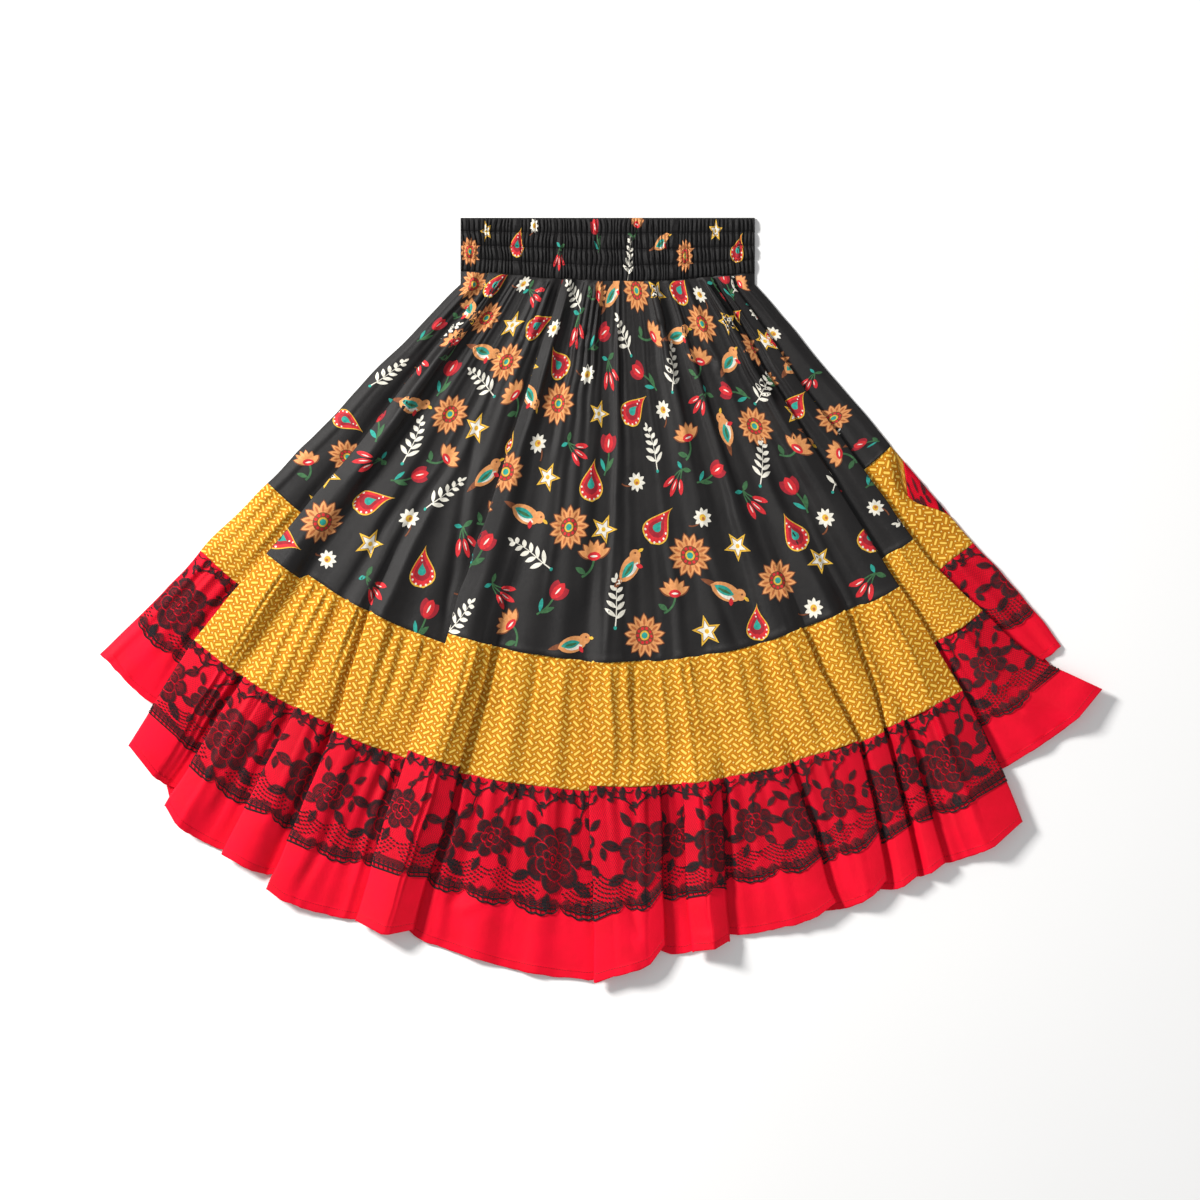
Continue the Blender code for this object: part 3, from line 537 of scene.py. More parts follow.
def gathers_height(level):
    """Height of the gathers on a level."""
    for gathers in GATHERS:
        below = level - gathers.seam
        if 0 <= below < 1:
            risen = float(smooth(below / gathers.rise))
            return gathers.height * risen * math.exp(-((below / gathers.fade) ** 2))
    return 0.0


def fan_radius(angle, level, lifts):
    """Distance from the apex of places on the fan. lifts are those at the two seams and the hem."""
    waist = (WAIST_RADIUS - WAIST_RISE * (angle / RIGHT_SIDE) ** 2) / np.cos(angle)
    upper, lower, hem = (RADII[i + 1] - lifts[i] for i in range(3))
    first_tier = waist + (RADII[1] - waist) * level - lifts[0] * np.minimum(level, 1) ** 2
    second_tier = upper + (lower - upper) * (level - 1)
    third_tier = lower + (hem - lower) * (level - 2)
    return np.where(level <= 1, first_tier, np.where(level <= 2, second_tier, third_tier))


def on_fan(radius, angle, height):
    """Points at distances and angles from the apex."""
    return np.column_stack([APEX_X + radius * np.sin(angle), APEX_Y - radius * np.cos(angle), height])


def lifts_at(place):
    """The lifts at the upper seam, the lower seam and the hem, at places counted in flaps."""
    flap_ends = [end for index in range(len(FLAPS)) for end in (index, index + ON_FLAP)]
    upper = [flap.lift_upper for flap in FLAPS for _ in range(2)]
    lower = [flap.lift_lower for flap in FLAPS for _ in range(2)]
    hem = [lift for flap in FLAPS for lift in (flap.lift_left, flap.lift_right)]
    return [np.interp(place, flap_ends, table) for table in (upper, lower, hem)]


def front_row(level, table):
    """Points of the front's middle surface along one level of the cloth, and how open it lies there."""
    place = table[0, :, 2]
    columns = np.arange(len(place))
    lifts = lifts_at(place)
    middle_angle = table[SECTIONS // 2, :, 0]
    radius = fan_radius(middle_angle, level, lifts)
    below = np.interp(radius, RADII, LEVELS) / LEVELS[-1] * (SECTIONS - 1)
    first = np.minimum(below.astype(int), SECTIONS - 2)
    rest = (below - first)[:, None]
    section = table[first, columns] * (1 - rest) + table[first + 1, columns] * rest
    angle, height, _, waves, gather, corner, from_left, to_right = section.T
    height = height + waves * ridges_height(angle, level, radius) + gather * gathers_height(level)
    height += side_height(from_left, to_right, radius)
    radius = fan_radius(angle, level, lifts)
    radius -= HEM_CURL * corner * max(0.0, level - 2)
    return on_fan(radius, angle, GROUND + height), waves


def side_height(from_left, to_right, radius):
    """The roll along the two side folds, and their drop to where the back is thin."""
    height = np.zeros_like(radius)
    sides = ((from_left, RADII[2] - BACK_LIFT_LOWER[0]), (to_right, RADII[2] - BACK_LIFT_LOWER[-1]))
    for away, thick_from in sides:
        thin = 1 - smooth((radius - thick_from + SIDE_DROP_REACH) / SIDE_DROP_REACH)
        near = 1 - smooth(away / SIDE_ROLL_WIDTH)
        roll = 4 * near * (1 - near)
        height += SIDE_ROLL * roll - (LACE + GAP) * thin * near
    return height


def offsets_of(grid):
    """Steps out of the cloth's right side, for a wall that stays even round its bends."""
    away = grid[:, :, :2] - np.array([APEX_X, APEX_Y])
    down = np.zeros_like(grid)
    down[:, :, :2] = unit(away)
    flat = unit(np.cross((down[:, 1:] + down[:, :-1]) / 2, np.diff(grid, axis=1)))
    before = np.concatenate([flat[:, :1], flat], axis=1)
    after = np.concatenate([flat, flat[:, -1:]], axis=1)
    both = before + after
    return both / np.maximum(np.sum(both * before, axis=2, keepdims=True), 0.5)


def back_row(level, height):
    """Points of the flat back along one level, or along a level given for each column."""
    tables = (BACK_LIFT_UPPER, BACK_LIFT_LOWER, BACK_LIFT_HEM)
    lifts = [np.interp(np.degrees(BACK_FAN), BACK_ANGLES, table) for table in tables]
    return on_fan(fan_radius(BACK_FAN, level, lifts), BACK_FAN, np.full_like(BACK_FAN, height))


def waist_seam_y(x):
    """Y of the waist seam at some X."""
    down = WAIST_RADIUS
    for _ in range(4):
        angle = np.arctan2(x - APEX_X, down)
        down = WAIST_RADIUS - WAIST_RISE * (angle / RIGHT_SIDE) ** 2
    return APEX_Y - down


# The dense cloth.

# A piece of cloth is a grid of points on its outer face, from the top down and from left to right.
# along is each point's distance from the row's left end, down each row's distance from the top, and
# calm is 1 where the cloth lies open and 0 in its folds. places counts the columns in flaps, and
# tier_end is the level at which the cloth ends.
Cloth = namedtuple("Cloth", "points normals along down calm places tier_end")


def wander(s, size, seed):
    """A smooth random curve between -1 and 1, with about one swing for each two sizes of s."""
    draws = np.random.default_rng(seed).uniform(-1, 1, CURVE_DRAWS)
    place = np.clip(s / size + CURVE_MARGIN, 0, CURVE_DRAWS - 2)
    left = place.astype(int)
    part = smooth(place - left)
    return draws[left] * (1 - part) + draws[left + 1] * part


def drift(s, v, size_s, size_v, seed):
    """Smooth random hills between -1 and 1 over a surface."""
    place_s = np.clip(s / size_s + HILL_MARGIN, 0, HILL_DRAWS - 2)
    place_v = np.clip(v / size_v + HILL_MARGIN, 0, HILL_DRAWS - 2)
    i, j = place_s.astype(int), place_v.astype(int)
    draws = np.random.default_rng(seed).uniform(-1, 1, (HILL_DRAWS, HILL_DRAWS))
    a, b = smooth(place_s - i), smooth(place_v - j)
    low = draws[i, j] * (1 - a) + draws[i + 1, j] * a
    high = draws[i, j + 1] * (1 - a) + draws[i + 1, j + 1] * a
    return low * (1 - b) + high * b


def gathered(s, below, size, height, fade, seed):
    """Uneven gathers that start at a seam and run out below it, some soon and some late."""
    irregular = s + GATHER_STRAY * size * wander(s, 2.6 * size, seed + 1)
    crest = (1 - np.abs(wander(irregular, size, seed))) ** GATHER_SHARPNESS
    reach = fade * (1 + GATHER_VARIES * wander(s, 1.8 * size, seed + 2))
    start = smooth(below / GATHER_START)
    return height * (crest - GATHER_DIP) * start * np.exp(-((np.maximum(below, 0) / reach) ** GATHER_FALL))


def crease_height(points, tier):
    """The main creases of a tier, each along its own line in the fan."""
    height = np.zeros(points.shape[:2])
    for crease in itertools.starmap(Crease, CREASES[tier]):
        ends = on_fan(
            np.array([crease.from_radius, crease.to_radius]),
            np.radians([crease.from_angle, crease.to_angle]),
            np.zeros(2),
        )[:, :2]
        line = ends[1] - ends[0]
        length = float(np.linalg.norm(line))
        away = points[:, :, :2] - ends[0]
        share = (away @ line) / length**2
        aside = (away[:, :, 0] * line[1] - away[:, :, 1] * line[0]) / length
        ease = smooth(0.5 + share / CREASE_EASE) * smooth(0.5 + (1 - share) / CREASE_EASE)
        height += crease.height * np.exp(-((aside / crease.width) ** 2)) * ease
    return height


def spread(start, end, count):
    """Levels from start to end, closer together near both ends."""
    t = np.linspace(0, 1, count)
    return start + (end - start) * (t - ROW_CROWDING * np.sin(2 * math.pi * t) / (2 * math.pi))


def lengths_along(points):
    """Distance of each point from its row's left end."""
    steps = np.linalg.norm(np.diff(points, axis=1), axis=2)
    return np.concatenate([np.zeros((len(points), 1)), np.cumsum(steps, axis=1)], axis=1)


def lengths_down(points):
    """Mean distance of each row from the first one."""
    steps = np.linalg.norm(np.diff(points, axis=0), axis=2).mean(axis=1)
    return np.concatenate([[0], np.cumsum(steps)])


def front_cloth(levels, tier, extra=None, lift=0.0, edge=None):
    """The cloth over one tier of the front.

    extra(along, down), if any, adds to the tier's relief, and lift is how far out of the middle surface
    the cloth lies. edge, if any, moves the lowest row to a line of its own.
    """
    table = section_table(levels[-1])
    rows = [front_row(level, table) for level in levels]
    middle = np.stack([points for points, _ in rows])
    calm = np.stack([waves for _, waves in rows])
    out = offsets_of(middle)
    across, _ = front_row(levels[0] + 0.5, table)
    column_along = np.broadcast_to(lengths_along(across[None]), calm.shape)
    down = np.broadcast_to(lengths_down(middle)[:, None], calm.shape)
    relief = wrinkles(tier, column_along, down, middle)
    if extra is not None:
        relief = relief + extra(column_along, down)
    relief = relief * calm
    points = squared(swayed(middle + out * (CLOTH / 2 + lift + relief)[:, :, None]))
    plain = squared(swayed(middle + out * CLOTH / 2))
    along, down = lengths_along(plain), lengths_down(plain)
    if edge is not None:
        points, down = edge(points, along, down)
    return Cloth(points, unit(out), along, down, calm, table[0, :, 2], levels[-1])


def swayed(points):
    """Seams and fold edges are never quite straight: the cloth is shifted a little, all layers alike."""
    x, y = points[..., 0], points[..., 1]
    moved = points.copy()
    for size, reach, seed in SWAYS:
        moved[..., 0] += reach * drift(x, y, size, size, seed)
        moved[..., 1] += reach * drift(x, y, size, size, seed + 1)
    return moved


def squared(points):
    """Right under the waistband the cloth reaches out to the band's corners."""
    moved = points.copy()
    for end, sign in ((0, -1), (-1, 1)):
        corner = BAND_CENTRE_X + sign * BAND_WIDTH / 2
        short = np.maximum(sign * (corner - points[:, end, 0]), 0)[:, None]
        inward = sign * (points[:, end, 0][:, None] - points[:, :, 0])
        moved[:, :, 0] += sign * short * smooth(1 - inward / CORNER_REACH)
    return moved


def flap_distances(cloth):
    """Each point's distance along the cloth, kept true from fold to fold, from the middle out."""
    places = cloth.places
    columns = np.arange(len(places))
    lined = cloth.along[len(cloth.along) // 2]
    distance = np.empty_like(cloth.along)
    known = np.zeros(len(places), dtype=bool)
    ends = [i for i, flap in enumerate(FLAPS) if flap.edge == "seam" or flap.first < cloth.tier_end]
    for before, last in zip([-1] + ends, ends):
        here = (places >= before + 1) & (places <= last + ON_FLAP + TINY)
        known |= here
        centre = columns[here][here.sum() // 2]
        distance[:, here] = cloth.along[:, here] - cloth.along[:, centre][:, None] + lined[centre]
    for row in distance:
        row[~known] = np.interp(columns[~known], columns[known], row[known])
    return distance


def wrinkles(tier, along, down, middle):
    """The relief of a tier: gathers below and above its seams, drag lines, dents and main creases."""
    relief = RELIEF[tier]
    height = sum(gathered(along, down, *facts) for facts in relief.gathers)
    for tall, *facts in relief.hills:
        height += tall * drift(along, down, *facts)
    above_seam = down.max() - down
    for facts in relief.above:
        height += gathered(along, above_seam, *facts) + seam_roll(above_seam)
    if tier != "upper":
        height -= seam_sink(down)
    return height + crease_height(middle, tier)


def seam_roll(above_seam):
    """The cloth above a seam rolls a little over it."""
    crest = np.exp(-(((above_seam - SEAM_REACH) / SEAM_REACH) ** 2))
    return SEAM_ROLL * (crest - SEAM_DIP * np.exp(-above_seam / SEAM_DIP_REACH))


def seam_sink(below_seam):
    """The gathered cloth starts from under the seam."""
    return SEAM_SINK * np.exp(-((below_seam / SEAM_REACH) ** 2))


def start_under_seam(cloth):
    """Adds a row to a tier that reaches up under the tier above."""
    step = unit(cloth.points[0] - cloth.points[1]) * SEAM_UNDERLAP
    row = cloth.points[0] + step - cloth.normals[0] * 2 * SEAM_SINK
    return np.concatenate([row[None], cloth.points])


def fold_under(points, normals, width):
    """Adds three rows to a hem: its turned edge, and the allowance that lies under it."""
    step = unit(points[-2] - points[-1])
    edge = points[-1] - step * HEM_THICKNESS / 2 - normals * HEM_THICKNESS / 2
    under = points[-1] - normals * HEM_THICKNESS
    return np.concatenate([points, edge[None], under[None], (under + step * width)[None]])


def wrap_sides(points, low):
    """Adds columns that take the cloth round the two side folds, down to a height."""
    sides = []
    for end, inner in ((0, 1), (-1, -2)):
        outward = points[:, end] - points[:, inner]
        outward[:, 2] = 0
        drop = np.maximum(points[:, end, 2] - low, 0)[:, None] * np.array([0, 0, 1])
        sides.append([points[:, end] + unit(outward) * SIDE_TURN - drop * 0.5, points[:, end] - drop])
    left, right = sides
    columns = [left[1][:, None], left[0][:, None], points, right[0][:, None], right[1][:, None]]
    return np.concatenate(columns, axis=1)


def grid_faces(rows, columns):
    """Square faces over a grid of points, facing the side that its normals show."""
    index = np.arange(rows * columns).reshape(rows, columns)
    corners = index[:-1, :-1], index[1:, :-1], index[1:, 1:], index[:-1, 1:]
    return np.stack(corners, axis=-1).reshape(-1, 4)


def add_mesh(name, points, faces, uv, materials, slots=None):
    """A smooth mesh piece from arrays, with cloth distances as its UV map."""
    mesh = bpy.data.meshes.new(name)
    mesh.from_pydata(points.tolist(), [], faces.tolist())
    layer = mesh.uv_layers.new(name="cloth")
    corner = np.empty(len(mesh.loops), dtype=np.int32)
    mesh.loops.foreach_get("vertex_index", corner)
    layer.data.foreach_set("uv", uv[corner].astype(np.float32).ravel())
    for material in materials:
        mesh.materials.append(material)
    if slots is not None:
        mesh.polygons.foreach_set("material_index", np.asarray(slots, dtype=np.int32))
    mesh.shade_smooth()
    mesh.update()
    thing = bpy.data.objects.new(name, mesh)
    bpy.context.scene.collection.objects.link(thing)
    return thing


def add_cloth(name, grid, uv_along, uv_down, material):
    """A cloth piece from a grid of points."""
    rows, columns = grid.shape[:2]
    uv = np.stack([uv_along, np.broadcast_to(uv_down[:, None], (rows, columns))], axis=-1)
    return add_mesh(name, grid.reshape(-1, 3), grid_faces(rows, columns), uv.reshape(-1, 2), [material])


def laid_on_row(cloth, number, column, dx):
    """Points and normals on one row of the cloth, dx along it from some columns, and which are past it."""
    along, columns = cloth.along[number], np.arange(cloth.along.shape[1])
    wanted = np.interp(column, columns, along) + dx
    at_column = np.interp(wanted, along, columns)
    left = np.minimum(at_column.astype(int), len(columns) - 2)
    share = (at_column - left)[:, None]
    lines = cloth.points[number], cloth.normals[number]
    points, normals = (line[left] * (1 - share) + line[left + 1] * share for line in lines)
    return points, normals, (wanted < along[0]) | (wanted > along[-1])


def laid_at(cloth, column, row, dx, dy, lift):
    """Points on the cloth, dx along it and dy down it from a spot given by column and row."""
    rows = np.arange(len(cloth.down))
    wanted = np.interp(row, rows, cloth.down) + dy
    outside = (wanted < cloth.down[0]) | (wanted > cloth.down[-1])
    at_row = np.interp(wanted, cloth.down, rows)
    first = np.minimum(at_row.astype(int), len(rows) - 2)
    part = (at_row - first)[:, None]
    points, normals = np.zeros((len(dx), 3)), np.zeros((len(dx), 3))
    for step, weight in ((0, 1 - part), (1, part)):
        for number in np.unique(first):
            here = np.flatnonzero(first == number)
            point, normal, past = laid_on_row(cloth, number + step, column[here], dx[here])
            points[here] += weight[here] * point
            normals[here] += weight[here] * normal
            outside[here] |= past
    return points + unit(normals) * lift[:, None], outside


def row_at(cloth, down):
    """The row, with its fraction, at a distance from the cloth's top."""
    return float(np.interp(down, cloth.down, np.arange(len(cloth.down))))


def column_at(cloth, row, along):
    """The column, with its fraction, at a distance along one of the cloth's rows."""
    return float(np.interp(along, cloth.along[row], np.arange(cloth.along.shape[1])))


# Flat shapes, in millimetres.
def turned(points, degrees, x=0.0, y=0.0):
    """Points turned about the origin and then moved."""
    a = math.radians(degrees)
    points = np.asarray(points, dtype=float)
    x_axis = np.array([math.cos(a), math.sin(a)])
    y_axis = np.array([-math.sin(a), math.cos(a)])
    return points[:, :1] * x_axis + points[:, 1:] * y_axis + np.array([x, y])


def oval(x, y, wide, tall, degrees=0.0, count=18):
    """An oval of half-widths wide and tall."""
    t = np.linspace(0, 2 * math.pi, count, endpoint=False)
    return turned(np.column_stack([wide * np.cos(t), tall * np.sin(t)]), degrees, x, y)


def disc(x, y, radius, count=8):
    """A small round dot."""
    return oval(x, y, radius, radius, count=count)


def leaf(x, y, length, width, degrees, count=9, blunt=0.8):
    """A leaf or petal that grows from a point, with its tip at the far end."""
    t = np.linspace(0, 1, count)
    side = width / 2 * np.sin(math.pi * t) ** blunt
    right = np.column_stack([length * t, side])
    left = np.column_stack([length * t, -side])[-2:0:-1]
    return turned(np.concatenate([right, left]), degrees, x, y)


def star(outer, inner):
    """A plain star with five tips, one of them up."""
    t = math.pi / 2 + np.arange(10) * math.pi / 5
    size = np.where(np.arange(10) % 2 == 0, outer, inner)
    return np.column_stack([size * np.cos(t), size * np.sin(t)])


def stroke(points, width, tapered=False, closed=False):
    """A ribbon along a line of points, as its points and four-sided faces."""
    points = np.asarray(points, dtype=float)
    if closed:
        points = np.concatenate([points, points[:1]])
    along = np.gradient(points, axis=0)
    if closed:
        along[0] = along[-1] = points[1] - points[-2]
    along = unit(along)
    side = np.column_stack([-along[:, 1], along[:, 0]]) * width / 2
    if tapered:
        side *= np.linspace(1, 0.25, len(points))[:, None]
    left = np.arange(len(points) - 1)
    right = left + len(points)
    faces = np.stack([left, right, right + 1, left + 1], axis=1)
    return np.concatenate([points + side, points - side]), faces


def arc(x, y, radius, start, end, count=10):
    """Points on part of a circle, in degrees."""
    t = np.radians(np.linspace(start, end, count))
    return np.column_stack([x + radius * np.cos(t), y + radius * np.sin(t)])


# The print's motifs. Each is a list of inks with their outlines, later ones on top.
def sunflower():
    """A big tan flower with a red-dotted eye and a turquoise heart."""
    turns = [i * 360 / 13 for i in range(13)]
    shapes = [("brown", leaf(0, 0, 22.5, 9.6, turn)) for turn in turns]
    for turn in turns:
        shapes.append(("tan", leaf(0, 0, 21.2, 7.4, turn)))
        shapes.append(("amber", leaf(*arc(0, 0, 9, turn, turn, 1)[0], 8.5, 2.4, turn)))
    shapes.append(("brown", disc(0, 0, 9.6, 24)))
    shapes += [("red", disc(x, y, 1.6)) for x, y in arc(0, 0, 7.2, 0, 324, 10)]
    return shapes + [("gold", disc(0, 0, 4.8, 16)), ("teal", disc(0, 0, 3.2, 12))]


def small_sunflower():
    """A half-open tan flower on a stem, seen from the side."""
    turns = range(30, 156, 25)
    stem = [("green", stroke(arc(-18, 0, 18, -70, 0, 9), 2.2)), ("green", leaf(-8, -14, 12, 5.5, 150))]
    outer = [("brown", leaf(0, 0, 19, 8.2, turn)) for turn in turns]
    inner = [("tan", leaf(0, 0.4, 17.5, 6.0, turn)) for turn in turns]
    heart = [("red", leaf(-7, 2.5, 14, 8.0, 0, blunt=0.55)), ("cream", leaf(-4, 2.5, 8, 2.0, 0))]
    return stem + outer + inner + heart


def plain_star():
    """A gold star with a white one in it."""
    stars = [("gold", star(15.5, 6.6)), ("brown", star(11.4, 5.0)), ("cream", star(10.2, 4.4))]
    return stars + [("gold", disc(0, 0, 2.4, 10))]


def sprig():
    """A white sprig with narrow leaves in pairs."""
    stem = np.column_stack([3 * np.sin(np.linspace(0, 2.2, 12)), np.linspace(-24, 22, 12)])
    shapes = [("cream", stroke(stem, 1.3, tapered=True))]
    for i in range(2, 11, 2):
        x, y = stem[i]
        long = 15.5 - 0.9 * i
        shapes.append(("cream", leaf(x, y, long, 4.4, 38)))
        shapes.append(("cream", leaf(x, y + 2, long, 4.4, 142)))
    return shapes + [("cream", leaf(*stem[-1], 7, 3.0, 88)), ("teal", disc(*stem[0], 1.8))]


def tulip():
    """A red tulip on a green stem."""
    stem = np.column_stack([2.5 * np.sin(np.linspace(0, 2.6, 9)), np.linspace(-23, 1, 9)])
    return [
        ("green", stroke(stem, 1.8)),
        ("green", leaf(0.6, -20, 17, 5.0, 62)),
        ("teal", leaf(0.4, -19, 14, 4.2, 122)),
        ("crimson", leaf(0, -1, 19, 10.5, 66, blunt=0.6)),
        ("crimson", leaf(0, -1, 19, 10.5, 114, blunt=0.6)),
        ("red", leaf(0, -1, 19, 10.5, 90, blunt=0.6)),
        ("cream", leaf(0, 4, 9, 1.8, 90)),
    ]


def paisley():
    """A red paisley with a gold line, white dots and a turquoise drop."""
    t = np.linspace(0, 1, 15)

    def drop(size):
        """A drop with its tip bent aside."""
        right = np.column_stack([size * (1 - t) * np.sin(math.pi * t) ** 0.6 * 1.25, size * (2.3 * t - 1)])
        left = np.column_stack([-right[:, 0], right[:, 1]])[-2:0:-1]
        outline = np.concatenate([right, left])
        outline[:, 0] += 0.16 * size * np.maximum((outline[:, 1] + 0.3 * size) / size, 0) ** 2
        return outline

    shapes = [("gold", drop(17.5)), ("red", drop(15.8)), ("crimson", drop(10.6)), ("teal", drop(5.4))]
    shapes += [("cream", disc(x, y, 1.15)) for x, y in arc(0, -4.5, 10.6, 168, 372, 8)]
    return shapes + [("cream", disc(0.8 + 0.06 * y, y, 0.9)) for y in (9, 13)]


def songbird():
    """A small tan bird with a teal wing."""
    return [
        ("brown", leaf(-4, 1, 25, 6.0, 196)),
        ("tan", leaf(-17, -4, 34, 17.5, 14, blunt=0.6)),
        ("cream", leaf(-9, -4.5, 20, 6.5, 10)),
        ("teal", leaf(8, 2.5, 22, 8.5, 192)),
        ("green", leaf(5, 1.5, 15, 3.0, 193)),
        ("tan", oval(13, 6, 6.2, 5.6)),
        ("gold", leaf(17.5, 6.6, 7, 3.2, -8)),
        ("brown", disc(14.6, 7.4, 1.1)),
        ("red", leaf(7, -1.5, 8, 4.6, -60)),
    ]


def daisy():
    """A white daisy on a thin brown stem."""
    stem = [("brown", stroke(arc(-14, 0, 14, -80, -8, 8), 1.4))]
    petals = [("cream", leaf(0, 0, 10.2, 4.6, turn)) for turn in range(0, 360, 40)]
    return stem + petals + [("gold", disc(0, 0, 3.6, 12)), ("amber", disc(0.8, -0.6, 1.7))]


def berries():
    """Three long red berries on green stalks."""
    shapes = []
    for x, y, degrees, long in ((-4, 2, 252, 19), (0, 1, 275, 21), (4, 3, 300, 17)):
        shapes.append(("green", stroke([(1, 14), (0.5 * x, 8), (x, y)], 1.3)))
        shapes.append(("red", leaf(x, y, long, 5.8, degrees, blunt=0.55)))
        shapes.append(("cream", leaf(x, y - 3, long * 0.5, 1.1, degrees)))
    return shapes + [("green", leaf(1, 13, 11, 5.0, 25)), ("teal", leaf(0, 13, 9, 4.4, 150))]


MOTIFS = (sunflower, tulip, plain_star, sprig, paisley, small_sunflower, daisy, songbird, berries)
ROW_KINDS = (0, 5, 1, 6, 3, 8, 4, 0, 5, 2)  # the kind of motif that each row of the print starts with


# Flat shapes as triangles, laid on a cloth.
def anticlockwise(outline):
    """An outline that runs anticlockwise."""
    x, y = outline.T
    area = np.sum(x * np.roll(y, -1) - y * np.roll(x, -1))
    return outline if area > 0 else outline[::-1]


def border_of(outline, step):
    """An outline with its long edges divided."""
    parts = []
    for start, end in zip(outline, np.roll(outline, -1, axis=0)):
        pieces = max(1, int(math.ceil(np.linalg.norm(end - start) / step)))
        parts.append(start + (end - start) * np.arange(pieces)[:, None] / pieces)
    return np.concatenate(parts)


def flat_triangles(shapes, step):
    """One layer of triangles for a list of inks and shapes, small enough to bend with the cloth.

    Where shapes overlap, the later one wins, and an "open" one leaves a hole. Returns the points in
    metres, the triangles and their inks.
    """
    points, faces, inks = [], [], []
    for ink, shape in shapes:
        if isinstance(shape, tuple):
            ribbon, quads = shape
            base = len(points)
            points += ribbon.tolist()
            faces += [[base + i for i in quad] for quad in quads]
            inks += [ink] * len(quads)
        else:
            border = border_of(anticlockwise(np.asarray(shape)), step)
            faces.append(list(range(len(points), len(points) + len(border))))
            points += border.tolist()
            inks.append(ink)
    low, high = np.min(points, axis=0), np.max(points, axis=0)
    inner = [(x, y) for y in np.arange(low[1], high[1], step) for x in np.arange(low[0], high[0], step)]
    made = delaunay_2d_cdt([Vector(p) for p in points + inner], [], faces, 1, 1e-4)
    spots = np.array([tuple(p) for p in made[0]])
    owned = [(face, max(owners)) for face, owners in zip(made[2], made[5]) if owners and len(face) == 3]
    kept = [(face, owner) for face, owner in owned if inks[owner] != "open"]
    return spots * MM, np.array([face for face, _ in kept]), [inks[owner] for _, owner in kept]


class Stencil:
    """Collects flat shapes that are laid on a cloth, and makes one mesh of them."""

    def __init__(self, materials):
        self.materials = materials
        self.spots, self.faces, self.inks = [], [], []
        self.count = 0

    def add(self, column, row, points, faces, inks, lift):
        """Adds triangles in metres about a spot of the cloth, with x along it and y up it.

        column, row and lift are one number for the shape or one for each point, and inks one name
        or one for each triangle.
        """
        spots = np.empty((len(points), 5))
        spots[:, 0], spots[:, 1], spots[:, 4] = column, row, lift
        spots[:, 2:4] = points * np.array([1, -1])
        names = list(self.materials)
        named = [inks] * len(faces) if isinstance(inks, str) else inks
        self.spots.append(spots)
        self.faces.append(faces + self.count)
        self.inks.append([names.index(ink) for ink in named])
        self.count += len(points)

    def lay(self, cloth, name):
        """Makes the mesh on a cloth."""
        spots, faces, inks = (np.concatenate(part) for part in (self.spots, self.faces, self.inks))
        points, outside = laid_at(cloth, *spots.T)
        a, b, c = (points[faces[:, i]] for i in range(3))
        kept = np.linalg.norm(np.cross(b - a, c - a), axis=1) > SLIVER
        kept &= ~outside[faces].all(axis=1)
        used, again = np.unique(faces[kept], return_inverse=True)
        faces, flat = again.reshape(-1, 3), spots[used, 2:4]
        return add_mesh(name, points[used], faces, flat, self.materials.values(), inks[kept])


# The print, the lace and the stitches.
def motif_spots(cloth, seed):
    """Column, row and kind of the motifs of a print in rows, each row set off by half a step.

    The motifs follow the cloth's threads, so they come closer together where it is gathered.
    """
    draws = np.random.default_rng(seed)
    spots = []
    for number, level in enumerate(np.arange(MOTIF_EDGE, cloth.down[-1] - MOTIF_EDGE / 2, MOTIF_DOWN)):
        first = MOTIF_ACROSS * (0.3 + 0.5 * (number % 2))
        for place, spot in enumerate(np.arange(first, cloth.along[-1, -1], MOTIF_ACROSS)):
            spot += draws.uniform(-1, 1) * MOTIF_STRAY * MOTIF_ACROSS
            level_here = level + draws.uniform(-1, 1) * MOTIF_STRAY * MOTIF_DOWN
            kind = (2 * place + ROW_KINDS[number % len(ROW_KINDS)]) % len(MOTIFS)
            spots.append((column_at(cloth, -1, spot), row_at(cloth, level_here), kind))
    return spots


def print_cloth(cloth, name, spots, size, narrow, tilt, seed):
    """The scattered print. narrow(row) is how much of its width a motif keeps there."""
    made = [flat_triangles(motif(), PRINT_STEP) for motif in MOTIFS]
    stencil = Stencil(INK_MATERIALS)
    draws = np.random.default_rng(seed)
    for column, row, kind in spots:
        turn = draws.uniform(-tilt, tilt)
        scale = size * draws.uniform(0.94, 1.06) * np.array([narrow(row), 1.0])
        points, faces, inks = made[kind]
        stencil.add(column, row, turned(points, turn) * scale, faces, inks, PRINT_LIFT)
    return stencil.lay(cloth, name)


def blossom(centre, rings):
    """A lace flower: rings of petals with clear lines between them.

    A ring is its number of petals, their distance from the centre, length and width, and its turn.
    """
    shapes = []
    for count, reach, long, wide, turn in rings:
        for i in range(count):
            degrees = turn + i * 360 / count
            way = arc(0, 0, 1, degrees, degrees, 1)[0]
            x, y = centre + way * reach
            shapes.append(("open", leaf(x, y, long + 1.2, wide + 2.6, degrees, blunt=0.45)))
            shapes.append(("dense", leaf(x, y, long, wide, degrees, blunt=0.45)))
            x, y = centre + way * (reach + 0.42 * long)
            shapes.append(("petal", leaf(x, y, 0.42 * long, 0.5 * wide, degrees, blunt=0.6)))
            shapes.append(("thread", stroke([(x, y), (x, y) + 0.36 * long * way], 1.0, tapered=True)))
    shapes.append(("open", oval(*centre, 4.6, 6.0)))
    shapes.append(("thread", stroke(oval(*centre, 2.6, 3.8), 1.5, closed=True)))
    return shapes


